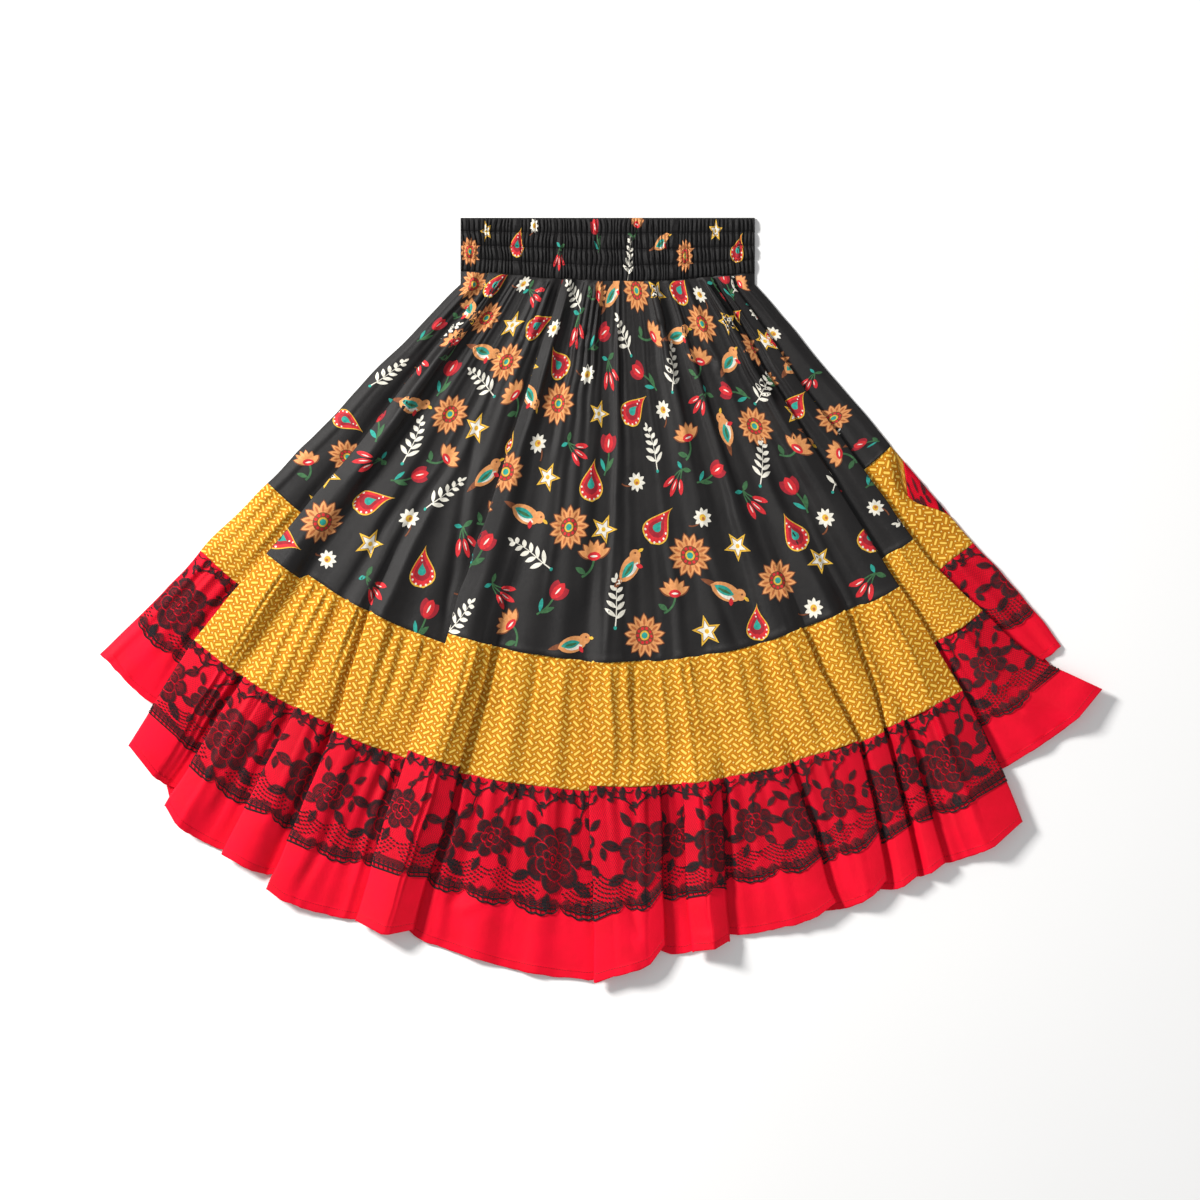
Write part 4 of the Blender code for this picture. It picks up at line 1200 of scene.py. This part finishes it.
def lace_leaf(x, y, long, wide, degrees):
    """A leaf with an open-worked middle and its vein."""
    tip = arc(x, y, long, degrees, degrees, 1)[0]
    start = np.array([x, y])
    return [
        ("dense", leaf(x, y, long, wide, degrees)),
        ("petal", leaf(*(start + 0.3 * (tip - start)), 0.5 * long, 0.45 * wide, degrees)),
        ("thread", stroke([start, (start + tip) / 2, tip], 1.0, tapered=True)),
    ]


def lace_garlands():
    """Arched stems above the flowers, with small leaves turned to and fro."""
    shapes = []
    for x, y, radius, start, end in (
        (-6, 34, 26, 150, 40), (38, 40, 22, 190, 60), (-52, 36, 22, 10, 120), (66, 34, 18, 200, 100),
    ):
        line = arc(x, y - 8, radius, start, end, 12)
        shapes.append(("thread", stroke(line, 1.5)))
        for k, (px, py) in enumerate(line[1::2]):
            shapes += lace_leaf(px, py, 9, 4.8, (start + end) / 2 + 70 * (-1) ** k)
    return shapes


def lace_top():
    """Leaves of several widths and loops of thread, in a row below the seam."""
    shapes = []
    for x, wide in {-64: 7, -52: 5, -42: 8, -24: 7, -6: 8, 6: 5, 16: 7, 34: 8, 52: 7, 66: 8}.items():
        shapes += lace_leaf(x, 62, 15, wide, -90 + 0.35 * x)
        shapes.append(("thread", stroke(arc(x + 6, 61, 6, 185, 335, 7), 1.2)))
    return shapes


def lace_fans(rose):
    """Open fans of small dots, which leave the rose clear."""
    shapes = []
    for k in range(6):
        for side, centre in ((-1, -62), (1, 20)):
            for x, y in arc(centre, -14, 17 + 4.4 * k, 218 - 2 * k, 322 + 2 * k, 9 + 2 * k):
                if (x - rose[0]) ** 2 + (y - rose[1]) ** 2 > 36**2:
                    shapes.append(("thread", oval(x, y, 1.6, 1.0, side * 10, count=6)))
    return shapes


def lace_shapes():
    """One repeat of the lace, in millimetres from its centre, 134 high."""
    rose, bloom = np.array([-18.0, -9.0]), np.array([46.0, 3.0])
    shapes = blossom(rose, ((7, 9, 27, 25, 8), (6, 5, 18, 17, 34), (5, 2, 10, 9, 12)))
    shapes += blossom(bloom, ((6, 5, 18, 16, 20), (5, 1, 10, 8.5, 50)))
    for facts in (
        (4, -30, 27, 12, -30), (14, -12, 21, 10, -2), (-50, 0, 24, 11, 168), (-46, -26, 24, 11, 205),
        (-24, -44, 18, 10, -92), (4, 16, 20, 10, 44), (-36, 20, 20, 9.5, 130), (60, -14, 18, 9, -40),
        (30, 20, 17, 8, 120), (64, 18, 15, 8, 44), (40, -20, 17, 8, -105), (-70, -12, 14, 8, 100),
    ):
        shapes += lace_leaf(*facts)
    shapes += lace_garlands() + lace_top() + lace_fans(rose)
    for x in range(-74, 78, 6):
        shapes.append(("thread", stroke([(x, -54), (x + 0.8, -60), (x + 2.4, -66)], 1.0)))
    return shapes


def dress_lace(cloth, name, first):
    """The lace's flowers, leaves and dots, repeated along the cloth, and the cords along its edge."""
    points, faces, inks = flat_triangles(lace_shapes(), LACE_STEP)
    stencil = Stencil(LACE_MATERIALS)
    reference = len(cloth.down) * 2 // 3
    width = cloth.along[reference, -1]
    row = row_at(cloth, cloth.down[-1] * LACE_CENTRE)
    for spot in np.arange(first, width + LACE_REPEAT, LACE_REPEAT):
        past = np.array([max(0.0, spot - width), 0])
        stencil.add(column_at(cloth, reference, spot), row, points + past, faces, inks, THREAD_LIFT)
    for band in EDGE_BANDS:
        add_cord(stencil, cloth, *band)
    return stencil.lay(cloth, name)


def add_cord(stencil, cloth, ink, inward, width, swing):
    """A cord or band along the cloth's lowest edge. swing is how much wider it is in its arches."""
    columns = np.arange(cloth.along.shape[1])
    arches = np.abs(np.sin(math.pi * cloth.along[-1] / ARCH_WIDTH))
    points = np.zeros((2 * len(columns), 2))
    points[::2, 1], points[1::2, 1] = inward + width + swing * arches, inward
    first = 2 * np.arange(len(columns) - 1)
    faces = np.concatenate([
        np.stack([first, first + 1, first + 3], axis=1), np.stack([first, first + 3, first + 2], axis=1),
    ])
    stencil.add(np.repeat(columns, 2), len(cloth.down) - 1, points, faces, ink, EDGE_LIFT)


def stitches(name, cloth, material, lines, pitch, long, wide):
    """Rows of stitches, each at its distance above the cloth's lowest edge."""
    stencil = Stencil({"thread": material})
    shape = np.array([(-1, -1), (1, -1), (1, 1), (-1, 1)]) * np.array([long, wide]) / 2
    faces = np.array([(0, 1, 2), (0, 2, 3)])
    for above in lines:
        row = row_at(cloth, cloth.down[-1] - above)
        for spot in np.arange(pitch, cloth.along[int(row), -1] - pitch, pitch):
            stencil.add(column_at(cloth, int(row), spot), row, shape, faces, "thread", THREAD_LIFT)
    return stencil.lay(cloth, name)


def lace_edge(points, along, down):
    """Brings the lace's lowest rows to its scalloped edge, with small scallops in each large one."""
    along_edge = along[-1]
    large = np.abs(np.sin(math.pi * along_edge / SCALLOP_WIDTH))
    small = np.abs(np.sin(math.pi * along_edge / (SCALLOP_WIDTH / SMALL_SCALLOPS)))
    share = SCALLOP_START + (1 - SCALLOP_START) * large
    length = down[-1] - down[-1 - EDGE_ROWS]
    low = (share * LACE_SCALLOP + SMALL_SCALLOP * small) / length
    moved = points.copy()
    columns = np.arange(points.shape[1])
    base = len(points) - 1 - EDGE_ROWS
    for k in range(1, EDGE_ROWS + 1):
        whole = np.clip(k / EDGE_ROWS * low, 0, 1) * EDGE_ROWS
        first = np.minimum(whole.astype(int), EDGE_ROWS - 1)
        rest = (whole - first)[:, None]
        above, below = points[base + first, columns], points[base + first + 1, columns]
        moved[base + k] = above * (1 - rest) + below * rest
    return moved, lengths_down(moved)


# Materials. Colours are written as they look on a screen, from 0 to 255.
def colour(red, green, blue):
    """A screen colour as the shader's linear one."""
    parts = []
    for value in (red, green, blue):
        value /= 255
        parts.append(value / 12.92 if value <= 0.04045 else ((value + 0.055) / 1.055) ** 2.4)
    return (*parts, 1.0)


class Finish:
    """A Principled material with short calls for its nodes."""

    def __init__(self, name, base, roughness, sheen=0.0, specular=0.35):
        self.material = bpy.data.materials.new(name)
        self.material.use_nodes = True
        self.tree = self.material.node_tree
        self.shader = self.tree.nodes["Principled BSDF"]
        self.set("Base Color", base)
        self.set("Roughness", roughness)
        self.set("Sheen Weight", sheen)
        self.set("Specular IOR Level", specular)
        split = self.node("ShaderNodeSeparateXYZ")
        self.uv = self.node("ShaderNodeUVMap").outputs["UV"]
        self.tree.links.new(self.uv, split.inputs[0])
        self.u, self.v = split.outputs["X"], split.outputs["Y"]
        self.place = self.node("ShaderNodeTexCoord").outputs["Object"]

    def node(self, kind):
        """A new node of a kind."""
        return self.tree.nodes.new(kind)

    def set(self, name, value):
        """The same on one of the shader's sockets."""
        self.put(self.shader.inputs[name], value)

    def put(self, socket, value):
        """A value, or another node's output, on any socket."""
        if isinstance(value, bpy.types.NodeSocket):
            self.tree.links.new(value, socket)
        else:
            socket.default_value = value

    def math(self, operation, *values):
        """The result of a sum."""
        node = self.node("ShaderNodeMath")
        node.operation = operation
        for socket, value in zip(node.inputs, values):
            self.put(socket, value)
        return node.outputs[0]

    def band(self, value, low, high):
        """0 at low, 1 at high and beyond."""
        node = self.node("ShaderNodeMapRange")
        for name, part in (("Value", value), ("From Min", low), ("From Max", high)):
            self.put(node.inputs[name], part)
        return node.outputs[0]

    def noise(self, scale, detail=2.0):
        """Soft random patches over the skirt, from 0 to 1."""
        node = self.node("ShaderNodeTexNoise")
        self.put(node.inputs["Vector"], self.place)
        self.put(node.inputs["Scale"], scale)
        self.put(node.inputs["Detail"], detail)
        return node.outputs["Fac"]

    def mix(self, share, first, second):
        """A colour between two."""
        node = self.node("ShaderNodeMix")
        node.data_type = "RGBA"
        self.put(node.inputs["Factor"], share)
        self.put(node.inputs[6], first)
        self.put(node.inputs[7], second)
        return node.outputs[2]

    def weave(self, pitch):
        """A plain weave's height, from 0 to 1."""
        turns = 2 * math.pi / pitch
        over = self.math("SINE", self.math("MULTIPLY", self.u, turns))
        under = self.math("SINE", self.math("MULTIPLY", self.v, turns))
        return self.math("MULTIPLY_ADD", self.math("MULTIPLY", over, under), 0.5, 0.5)

    def bump(self, height, distance, strength=1.0):
        """Fine relief of the surface."""
        node = self.node("ShaderNodeBump")
        self.put(node.inputs["Height"], height)
        self.put(node.inputs["Distance"], distance)
        self.put(node.inputs["Strength"], strength)
        self.set("Normal", node.outputs[0])


def crumpled(finish, threads):
    """The height of the weave and of the small creases in it."""
    creases = finish.math("MULTIPLY", finish.noise(CRUMPLE_SCALE, 3.0), CRUMPLE_SHARE)
    return finish.math("MULTIPLY_ADD", threads, WEAVE_SHARE, creases)


def cotton(name, dark, light, roughness, specular):
    """Plain-woven cotton with uneven dye and small creases."""
    finish = Finish(name, light, roughness, specular=specular)
    patches = finish.band(finish.noise(26.0, 4.0), 0.34, 0.68)
    threads = finish.weave(WEAVE_PITCH)
    shade = finish.math("MULTIPLY_ADD", threads, 0.3, finish.math("MULTIPLY", patches, 0.7))
    finish.set("Base Color", finish.mix(shade, dark, light))
    finish.set("Roughness", finish.math("MULTIPLY_ADD", patches, 0.08, roughness - 0.04))
    finish.bump(crumpled(finish, threads), CRUMPLE_DEPTH, 0.5)
    return finish.material


def place_in_cell(finish, shift_u, shift_v):
    """Where a point lies in its cell of the gold print's repeat, from the cell's centre, in metres."""
    cell = []
    for value, shift in ((finish.u, shift_u), (finish.v, shift_v)):
        part = finish.math("FRACT", finish.math("MULTIPLY_ADD", value, 1 / GOLD_REPEAT, shift))
        cell.append(finish.math("MULTIPLY", finish.math("SUBTRACT", part, 0.5), GOLD_REPEAT))
    return cell


def distance(finish, x, y):
    """The length of x and y together."""
    return finish.math("SQRT", finish.math("MULTIPLY_ADD", x, x, finish.math("MULTIPLY", y, y)))


def bars(finish, shift, degrees):
    """Distance from the middle line of the short tilted bars of a repeat, in metres."""
    across, down = place_in_cell(finish, shift, shift)
    cosine, sine = math.cos(math.radians(degrees)), math.sin(math.radians(degrees))
    x = finish.math("MULTIPLY_ADD", across, cosine, finish.math("MULTIPLY", down, sine))
    y = finish.math("MULTIPLY_ADD", down, cosine, finish.math("MULTIPLY", across, -sine))
    past = finish.math("MAXIMUM", finish.math("SUBTRACT", finish.math("ABSOLUTE", x), BAR_HALF), 0.0)
    return distance(finish, past, y)


def dots(finish, shift_u, shift_v):
    """Distance from the nearest of the small dots of a repeat, in metres."""
    return distance(finish, *place_in_cell(finish, shift_u, shift_v))


def gold_cotton():
    """Gold cotton with a small print of pale bars, tilted by turns, and dots between them, and a painted
    highlight along the middle of each bar.
    """
    finish = Finish("gold_print_cotton", colour(200, 136, 30), 0.72, specular=0.1)
    patches = finish.band(finish.noise(30.0, 4.0), 0.3, 0.7)
    tint = finish.mix(patches, colour(186, 118, 18), colour(208, 142, 30))
    near = finish.math("MINIMUM", bars(finish, 0.0, BAR_TILT), bars(finish, 0.5, -BAR_TILT))
    spots = finish.math("MINIMUM", dots(finish, 0.5, 0.0), dots(finish, 0.0, 0.5))
    marks = {"bar": (near, BAR_RADIUS), "dot": (spots, DOT_RADIUS)}
    # The third bar layer paints a highlight along each bar's middle.
    for mark, start, full, tone in GOLD_LAYERS:
        away, radius = marks[mark]
        tint = finish.mix(finish.band(away, radius * start, radius * full), tint, colour(*tone))
    finish.set("Base Color", tint)
    bar = finish.band(near, BAR_RADIUS * BAR_EDGE[0], BAR_RADIUS * BAR_EDGE[1])
    height = finish.math("MULTIPLY_ADD", bar, 0.3, crumpled(finish, finish.weave(WEAVE_PITCH)))
    finish.bump(height, CRUMPLE_DEPTH, 0.45)
    return finish.material


def ink(name, tone, dark):
    """Printed colour, a little uneven, with the cloth's weave in it."""
    finish = Finish("ink_" + name, tone, 0.68, 0.1)
    threads = finish.weave(0.0006)
    patches = finish.band(finish.noise(320.0, 3.0), 0.35, 0.7)
    share = finish.math("MULTIPLY_ADD", threads, 0.25, finish.math("MULTIPLY", patches, 0.75))
    finish.set("Base Color", finish.mix(share, dark, tone))
    finish.bump(threads, 0.0003, 0.4)
    return finish.material


def net():
    """The lace's fine net: thin threads on two slants, with clear holes."""
    finish = Finish("lace_net", colour(30, 22, 27), 0.8, specular=0.1)
    threads = []
    for sign in (1, -1):
        slant = finish.math("MULTIPLY_ADD", finish.v, sign * NET_SLANT, finish.u)
        wave = finish.math("SINE", finish.math("MULTIPLY", slant, math.pi / NET_PITCH))
        threads.append(finish.math("LESS_THAN", finish.math("ABSOLUTE", wave), NET_THREAD))
    finish.set("Alpha", finish.math("MAXIMUM", *threads))
    finish.set("Base Color", finish.mix(finish.noise(400.0), colour(18, 13, 17), colour(40, 28, 34)))
    return finish.material


def lace_thread(name, tone, dark, gaps):
    """Thick lace threads laid side by side. gaps is the share that shows between them."""
    finish = Finish(name, tone, 0.62, specular=0.3)
    ribs = finish.math("SINE", finish.math("MULTIPLY", finish.v, 2 * math.pi / LACE_RIB))
    uneven = finish.noise(500.0, 2.0)
    finish.set("Base Color", finish.mix(uneven, dark, tone))
    if gaps:
        solid = finish.math("MULTIPLY_ADD", uneven, 0.3, finish.math("MULTIPLY_ADD", ribs, 0.5, 0.5))
        finish.set("Alpha", finish.math("GREATER_THAN", solid, gaps))
    finish.bump(ribs, 0.0004, 0.7)
    return finish.material


def floor_finish():
    """A plain matt white surface."""
    finish = Finish("floor_white", colour(250, 250, 250), 0.9, specular=0.1)
    finish.set("Base Color", finish.mix(finish.noise(3.0), colour(249, 249, 249), colour(252, 252, 252)))
    return finish.material


BLACK = cotton("black_cotton", colour(15, 13, 14), colour(28, 26, 26), 0.56, 0.30)
# The waistband's cotton is a darker copy of the black cotton: painted shade of its puckers.
BAND_SHADED_BLACK = cotton("black_waistband_cotton_painted_shade", colour(9, 8, 9), colour(17, 15, 16), 0.6, 0.24)
GOLD = gold_cotton()
RED = cotton("red_cotton", colour(222, 0, 34), colour(244, 0, 44), 0.64, 0.16)
NET = net()
LACE_MATERIALS = {
    "petal": lace_thread("lace_petal", colour(42, 30, 36), colour(18, 13, 17), 0.50),
    "dense": lace_thread("lace_dense", colour(42, 32, 37), colour(20, 14, 18), 0.25),
    "thread": lace_thread("lace_thread", colour(26, 19, 23), colour(11, 8, 10), 0),
}
BLACK_THREAD = lace_thread("black_thread", colour(52, 49, 53), colour(30, 28, 30), 0)
RED_THREAD = lace_thread("red_thread", colour(178, 4, 28), colour(150, 2, 22), 0)
INK_TONES = {
    "brown": ((132, 72, 34), (96, 48, 22)),
    "tan": ((224, 158, 98), (202, 130, 72)),
    "amber": ((190, 110, 58), (160, 88, 42)),
    "red": ((216, 34, 42), (182, 20, 32)),
    "crimson": ((168, 14, 36), (136, 8, 28)),
    "gold": ((232, 190, 60), (196, 146, 34)),
    "teal": ((38, 168, 150), (20, 128, 118)),
    "green": ((62, 112, 66), (38, 82, 48)),
    "cream": ((238, 234, 220), (206, 202, 190)),
}
INK_MATERIALS = {
    name: ink(name, colour(*tone), colour(*dark)) for name, (tone, dark) in INK_TONES.items()
}


# The pieces.
def normals_of(points):
    """Unit normals of a grid, out of the side that its faces show."""
    normals = np.cross(np.gradient(points, axis=0), np.gradient(points, axis=1))
    return normals / np.linalg.norm(normals, axis=2, keepdims=True)


def cloth_of(points):
    """A Cloth with nothing tucked away."""
    calm, places = np.ones(points.shape[:2]), np.zeros(points.shape[1])
    return Cloth(points, normals_of(points), lengths_along(points), lengths_down(points), calm, places, 0)


def finish_cloth(piece, cloth, slot, node, extras=()):
    """Gives a cloth and the pieces laid on it their body. The slot is not used.

    The cloth replaces the node, if any.
    """
    for thing in (piece, *extras):
        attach(thing, "root")
    if node:
        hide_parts(node)
    across, downward = np.diff(cloth.points, axis=1)[:-1], np.diff(cloth.points, axis=0)[:, :-1]


def padded_distances(distance, above, below):
    """Distances along the cloth for its grid with the added rows and columns."""
    rows = np.concatenate([distance[:1]] * above + [distance] + [distance[-1:]] * below)
    left, right = rows[:, :1], rows[:, -1:]
    turn = np.array([2 * SIDE_TURN, SIDE_TURN])
    return np.concatenate([left - turn, rows, right + turn[::-1]], axis=1)


def dress_front_tier(name, cloth, material, hem=0.0):
    """The cloth of one front tier, from under its seam to its lower edge, round both side folds."""
    points = start_under_seam(cloth)
    down = np.concatenate([[-SEAM_UNDERLAP], cloth.down])
    if hem:
        points = fold_under(points, cloth.normals[-1], hem)
        round_hem = np.array([HEM_THICKNESS / 2, HEM_THICKNESS, HEM_THICKNESS + hem])
        down = np.concatenate([down, down[-1] + round_hem])
    distance = padded_distances(flap_distances(cloth), 1, 3 if hem else 0)
    return add_cloth(name, wrap_sides(points, BACK_TOP), distance, down, material)


def waistband_points():
    """The shirred front of the waistband, with rows of elastic and fine uneven puckers."""
    share = np.linspace(0, 1, BAND_ROWS)[:, None]
    bottom = waist_seam_y(BAND_X) + BAND_WOBBLE * wander(BAND_X, 0.011, 71)
    y = BAND_TOP + (bottom - BAND_TOP) * share
    part = share * BAND_CHANNELS % 1.0
    part[-1] = 1.0
    arch = np.sqrt(np.clip(1 - (2 * part - 1) ** 2, 0, 1))
    x = np.broadcast_to(BAND_X, y.shape)
    lean = BAND_LEAN * drift(x, y, 0.03, 0.018, 72)
    turn = (x + lean) / BAND_PUCKER + BAND_STRAY * wander(x + 0.7 * lean, 2.2 * BAND_PUCKER, 73)
    small_turn = BAND_SMALL_TURNS * turn + 0.4 * drift(x, y, 0.02, 0.01, 74)
    crest = np.abs(np.sin(math.pi * turn)) ** BAND_ROUNDNESS
    crest -= BAND_SMALL_SHARE * np.abs(np.sin(math.pi * small_turn))
    uneven = 1 - BAND_VARIES * (1 - drift(x, y, 0.010, 0.014, 76))
    on_elastic = BAND_ON_ELASTIC + (1 - BAND_ON_ELASTIC) * arch
    z = BAND_FLOOR + BAND_ARCH * arch + BAND_DEPTH * crest * uneven * on_elastic
    return np.stack([x, y, z], axis=-1)


def dress_waistband():
    """The front of the waistband, its print and the stitches of its channels."""
    cloth = cloth_of(waistband_points())
    top = cloth.points[0]
    inside = top * np.array([1, 1, 0]) + np.array([0, -BAND_TURN_IN, BACK_TOP])
    lip = top * np.array([1, 1, BAND_LIP_HEIGHT]) + np.array([0, BAND_LIP, 0])
    points = np.concatenate([np.stack([inside, lip]), cloth.points])
    down = np.concatenate([BAND_TURN_ROWS, cloth.down])
    distance = padded_distances(cloth.along, len(BAND_TURN_ROWS), 0)
    piece = add_cloth("waistband_cloth_front", wrap_sides(points, BACK_TOP), distance, down, BAND_SHADED_BLACK)
    spots = []
    for number, (share, down_share) in enumerate(BAND_MOTIFS):
        spots.append((share * (BAND_COLUMNS - 1), down_share * (BAND_ROWS - 1), 2 * number % len(MOTIFS)))
    printed = print_cloth(cloth, "waistband_print", spots, 1.0, lambda row: BAND_NARROW, BAND_TILT, 81)
    channels = 1 - np.arange(1, BAND_CHANNELS + 1) / BAND_CHANNELS
    lines = cloth.down[-1] * channels + BAND_STITCH_RISE
    sewn = stitches("waistband_stitches", cloth, BLACK_THREAD, lines, *BAND_STITCH)
    extras = [printed, sewn]
    finish_cloth(piece, cloth, "black_print", "waistband_front", extras)


def dress_upper_tier():
    """The black tier and its print."""
    cloth = front_cloth(spread(0.0, 1.0, UPPER_COUNT), "upper")
    piece = dress_front_tier("upper_tier_cloth_front", cloth, BLACK)
    spots = motif_spots(cloth, 5)
    reach = cloth.along[:, -1] / cloth.along[-1, -1]

    def narrow(row):
        """Near the waist the gathers take up some of each motif's width."""
        here = float(np.interp(row, np.arange(len(reach)), reach))
        return min(1.0, NARROWEST + (FULL_AT - NARROWEST) * here)

    printed = print_cloth(cloth, "upper_tier_print", spots, MOTIF_SIZE, narrow, MOTIF_TILT, 82)
    extras = [printed]
    finish_cloth(piece, cloth, "black_print", "upper_tier_front", extras)


def dress_middle_tier():
    """The gold tier."""
    cloth = front_cloth(spread(1.0, 2.0, MIDDLE_COUNT), "middle")
    piece = dress_front_tier("middle_tier_cloth_front", cloth, GOLD)
    finish_cloth(piece, cloth, "gold_print", "middle_tier_front")


def turned_hem(along, down):
    """The ridge of the turned hem."""
    hem = smooth((HEM_WIDTH - (down.max() - down)) / (HEM_SLOPE * HEM_WIDTH))
    return HEM_RELIEF * hem * (1 + HEM_VARIES * wander(along, 0.006, 63))


def loose_lace(along, down):
    """The lace stands a little off the red cloth in places."""
    return LACE_LOOSE * (1 + drift(along, down, 0.018, 0.05, 45))


def wobbly_hem(points, along, down):
    """The hem's edge is a little uneven."""
    step = unit(points[-1] - points[-2])
    points = points.copy()
    for size, reach, seed in HEM_WOBBLES:
        points[-1] += step * reach * wander(along[-1], size, seed)[:, None]
    return points, down


def dress_lower_tier():
    """The red tier with its stitched hem."""
    cloth = front_cloth(spread(2.0, 3.0, LOWER_COUNT), "lower", turned_hem, edge=wobbly_hem)
    piece = dress_front_tier("lower_tier_cloth_front", cloth, RED, HEM_WIDTH)
    sewn = stitches("lower_tier_stitches", cloth, RED_THREAD, [HEM_STITCH_LINE], *HEM_STITCH)
    finish_cloth(piece, cloth, "red_cotton", "lower_tier_front", [sewn])


def dress_lace_flounce():
    """The lace over the red tier."""
    levels = spread(2.0, LACE_END + LACE_SPARE * SCALLOP_DEPTH, LACE_COUNT)
    cloth = front_cloth(levels, "lower", loose_lace, LACE_LIFT, lace_edge)
    piece = dress_front_tier("lace_net_front", cloth, NET)
    extras = [dress_lace(cloth, "lace_motifs_front", LACE_START)]
    finish_cloth(piece, cloth, "black_lace", "lace_front", extras)


def closed_slab(name, over, under, material):
    """A closed piece between two grids of points."""
    rows, columns = over.shape[:2]
    count = rows * columns
    index = np.arange(count).reshape(rows, columns)
    top = grid_faces(rows, columns)
    rim = np.concatenate([index[0, :], index[1:, -1], index[-1, -2::-1], index[-2:0:-1, 0]])
    after = np.roll(rim, -1)
    sides = np.stack([rim, after, after + count, rim + count], axis=-1)
    faces = np.concatenate([top, top[:, ::-1] + count, sides])
    points = np.concatenate([over.reshape(-1, 3), under.reshape(-1, 3)])
    along, down = lengths_along(over), lengths_down(over)
    uv = np.stack([along, np.broadcast_to(down[:, None], along.shape)], axis=-1).reshape(-1, 2)
    return add_mesh(name, points, faces, np.concatenate([uv, uv]), [material])


def dress_back(name, node, slot, levels, heights, thickness, material, seed, bottom=None):
    """One tier of the back, flat below and a little uneven above."""
    lows = np.interp(levels, *heights)
    under = squared(np.stack([back_row(level, low) for level, low in zip(levels, lows)]))
    if bottom is not None:
        under[-1] = bottom
    over = under + np.array([0, 0, thickness])
    cloth = cloth_of(over)
    down = np.broadcast_to(cloth.down[:, None], cloth.along.shape)
    over = over.copy()
    over[:, :, 2] += BACK_RELIEF * (drift(cloth.along, down, 0.02, 0.08, seed) - 1)
    piece = closed_slab(name, over, under, material)
    finish_cloth(piece, cloth, slot, node)


def back_lace_edge():
    """The scalloped lower edge of the back's lace."""
    wide = SCALLOP_WIDTH / (RADII[2] + (RADII[3] - RADII[2]) * (LACE_END - 2))
    return back_row(LACE_END + SCALLOP_DEPTH * np.abs(np.sin(math.pi * BACK_FAN / (2 * wide))), 0.0)


def dress_backs():
    """The back's pieces, one for each tier, with the levels that they reach over.

    They lie flat on the floor, apart from the red tier, which lies on the lace down to its edge.
    """
    flat = ((0, 3), (0, 0))
    on_lace = LACE + GAP
    stepped = ((2.0, LACE_TIP + 0.01, LACE_TIP + 0.06, 3.0), (on_lace, on_lace, 0.0, 0.0))
    for tier, slot, start, rows, heights, material, seed in (
        ("upper_tier", "black_print", 0, 40, flat, BLACK, 101),
        ("middle_tier", "gold_print", 1, 24, flat, GOLD, 102),
        ("lower_tier", "red_cotton", 2, 40, stepped, RED, 103),
    ):
        levels = np.linspace(start, start + 1, rows)
        dress_back(tier + "_cloth_back", tier + "_back", slot, levels, heights, CLOTH, material, seed)
    levels, bottom = np.linspace(2, LACE_END, 24), back_lace_edge()
    dress_back("lace_net_back", "lace_back", "black_lace", levels, flat, LACE, NET, 104, bottom)
    dress_waistband_back()
    dress_side_lace()


def dress_waistband_back():
    """The back of the waistband."""
    share = np.linspace(0, 1, BAND_ROWS // 2)[:, None]
    y = BAND_TOP + (waist_seam_y(BAND_X) + GAP / 2 - BAND_TOP) * share
    under = np.stack([np.broadcast_to(BAND_X, y.shape), y, np.zeros_like(y)], axis=-1)
    over = under + np.array([0, 0, CLOTH])
    over[:, :, 2] -= BACK_RELIEF * (1 + wander(BAND_X, BAND_PUCKER, 105))
    piece = closed_slab("waistband_cloth_back", over, under, BAND_SHADED_BLACK)
    finish_cloth(piece, cloth_of(over), "black_print", "waistband_back")


def dress_side_lace():
    """The lace that turns up round the right side fold, where the front leaves it open."""
    levels = np.linspace(2.0, LACE_END + SCALLOP_DEPTH / 2, 40)
    rows = np.stack([back_row(level, LACE + 2 * GAP + CLOTH) for level in levels])
    points = rows[:, np.degrees(BACK_FAN) > SIDE_LACE_FROM, :]
    cloth = cloth_of(points)
    piece = add_cloth("lace_net_side", points, cloth.along, cloth.down, NET)
    extras = [dress_lace(cloth, "lace_motifs_side", SIDE_LACE_START)]
    finish_cloth(piece, cloth, "black_lace", None, extras)


# The floor, the lights and the camera.
def make_floor():
    """A plain white floor."""
    bpy.ops.mesh.primitive_plane_add(size=FLOOR_SIZE, location=(0, 0, -FLOOR_DROP))
    floor = bpy.context.object
    floor.name = "floor"
    floor.data.materials.append(floor_finish())


def make_light(light):
    """A soft square light aimed at the skirt."""
    data = bpy.data.lights.new(light.name, "AREA")
    data.shape, data.size, data.energy, data.color = "SQUARE", light.size, light.power, light.tint
    lamp = bpy.data.objects.new(light.name, data)
    lamp.location = light.place
    lamp.rotation_euler = (-Vector(light.place)).to_track_quat("-Z", "Y").to_euler()
    bpy.context.scene.collection.objects.link(lamp)


def make_studio():
    """Plain soft light, and a camera straight above as in the photo."""
    for light in LIGHTS:
        make_light(light)
    bpy.context.scene.view_settings.view_transform = "Standard"
    world = bpy.data.worlds.new("soft_room")
    world.use_nodes = True
    world.node_tree.nodes["Background"].inputs["Color"].default_value = (1, 1, 1, 1)
    world.node_tree.nodes["Background"].inputs["Strength"].default_value = WORLD_LIGHT
    bpy.context.scene.world = world
    camera = bpy.data.cameras.new("camera")
    camera.sensor_width = 36.0
    camera.lens = camera.sensor_width * CAMERA_HEIGHT / VIEW_WIDTH
    thing = bpy.data.objects.new("camera", camera)
    thing.location = (VIEW_CENTRE[0], VIEW_CENTRE[1], CAMERA_HEIGHT)
    bpy.context.scene.collection.objects.link(thing)
    bpy.context.scene.camera = thing


make_floor()
dress_backs()
dress_waistband()
dress_upper_tier()
dress_middle_tier()
dress_lower_tier()
dress_lace_flounce()
make_studio()
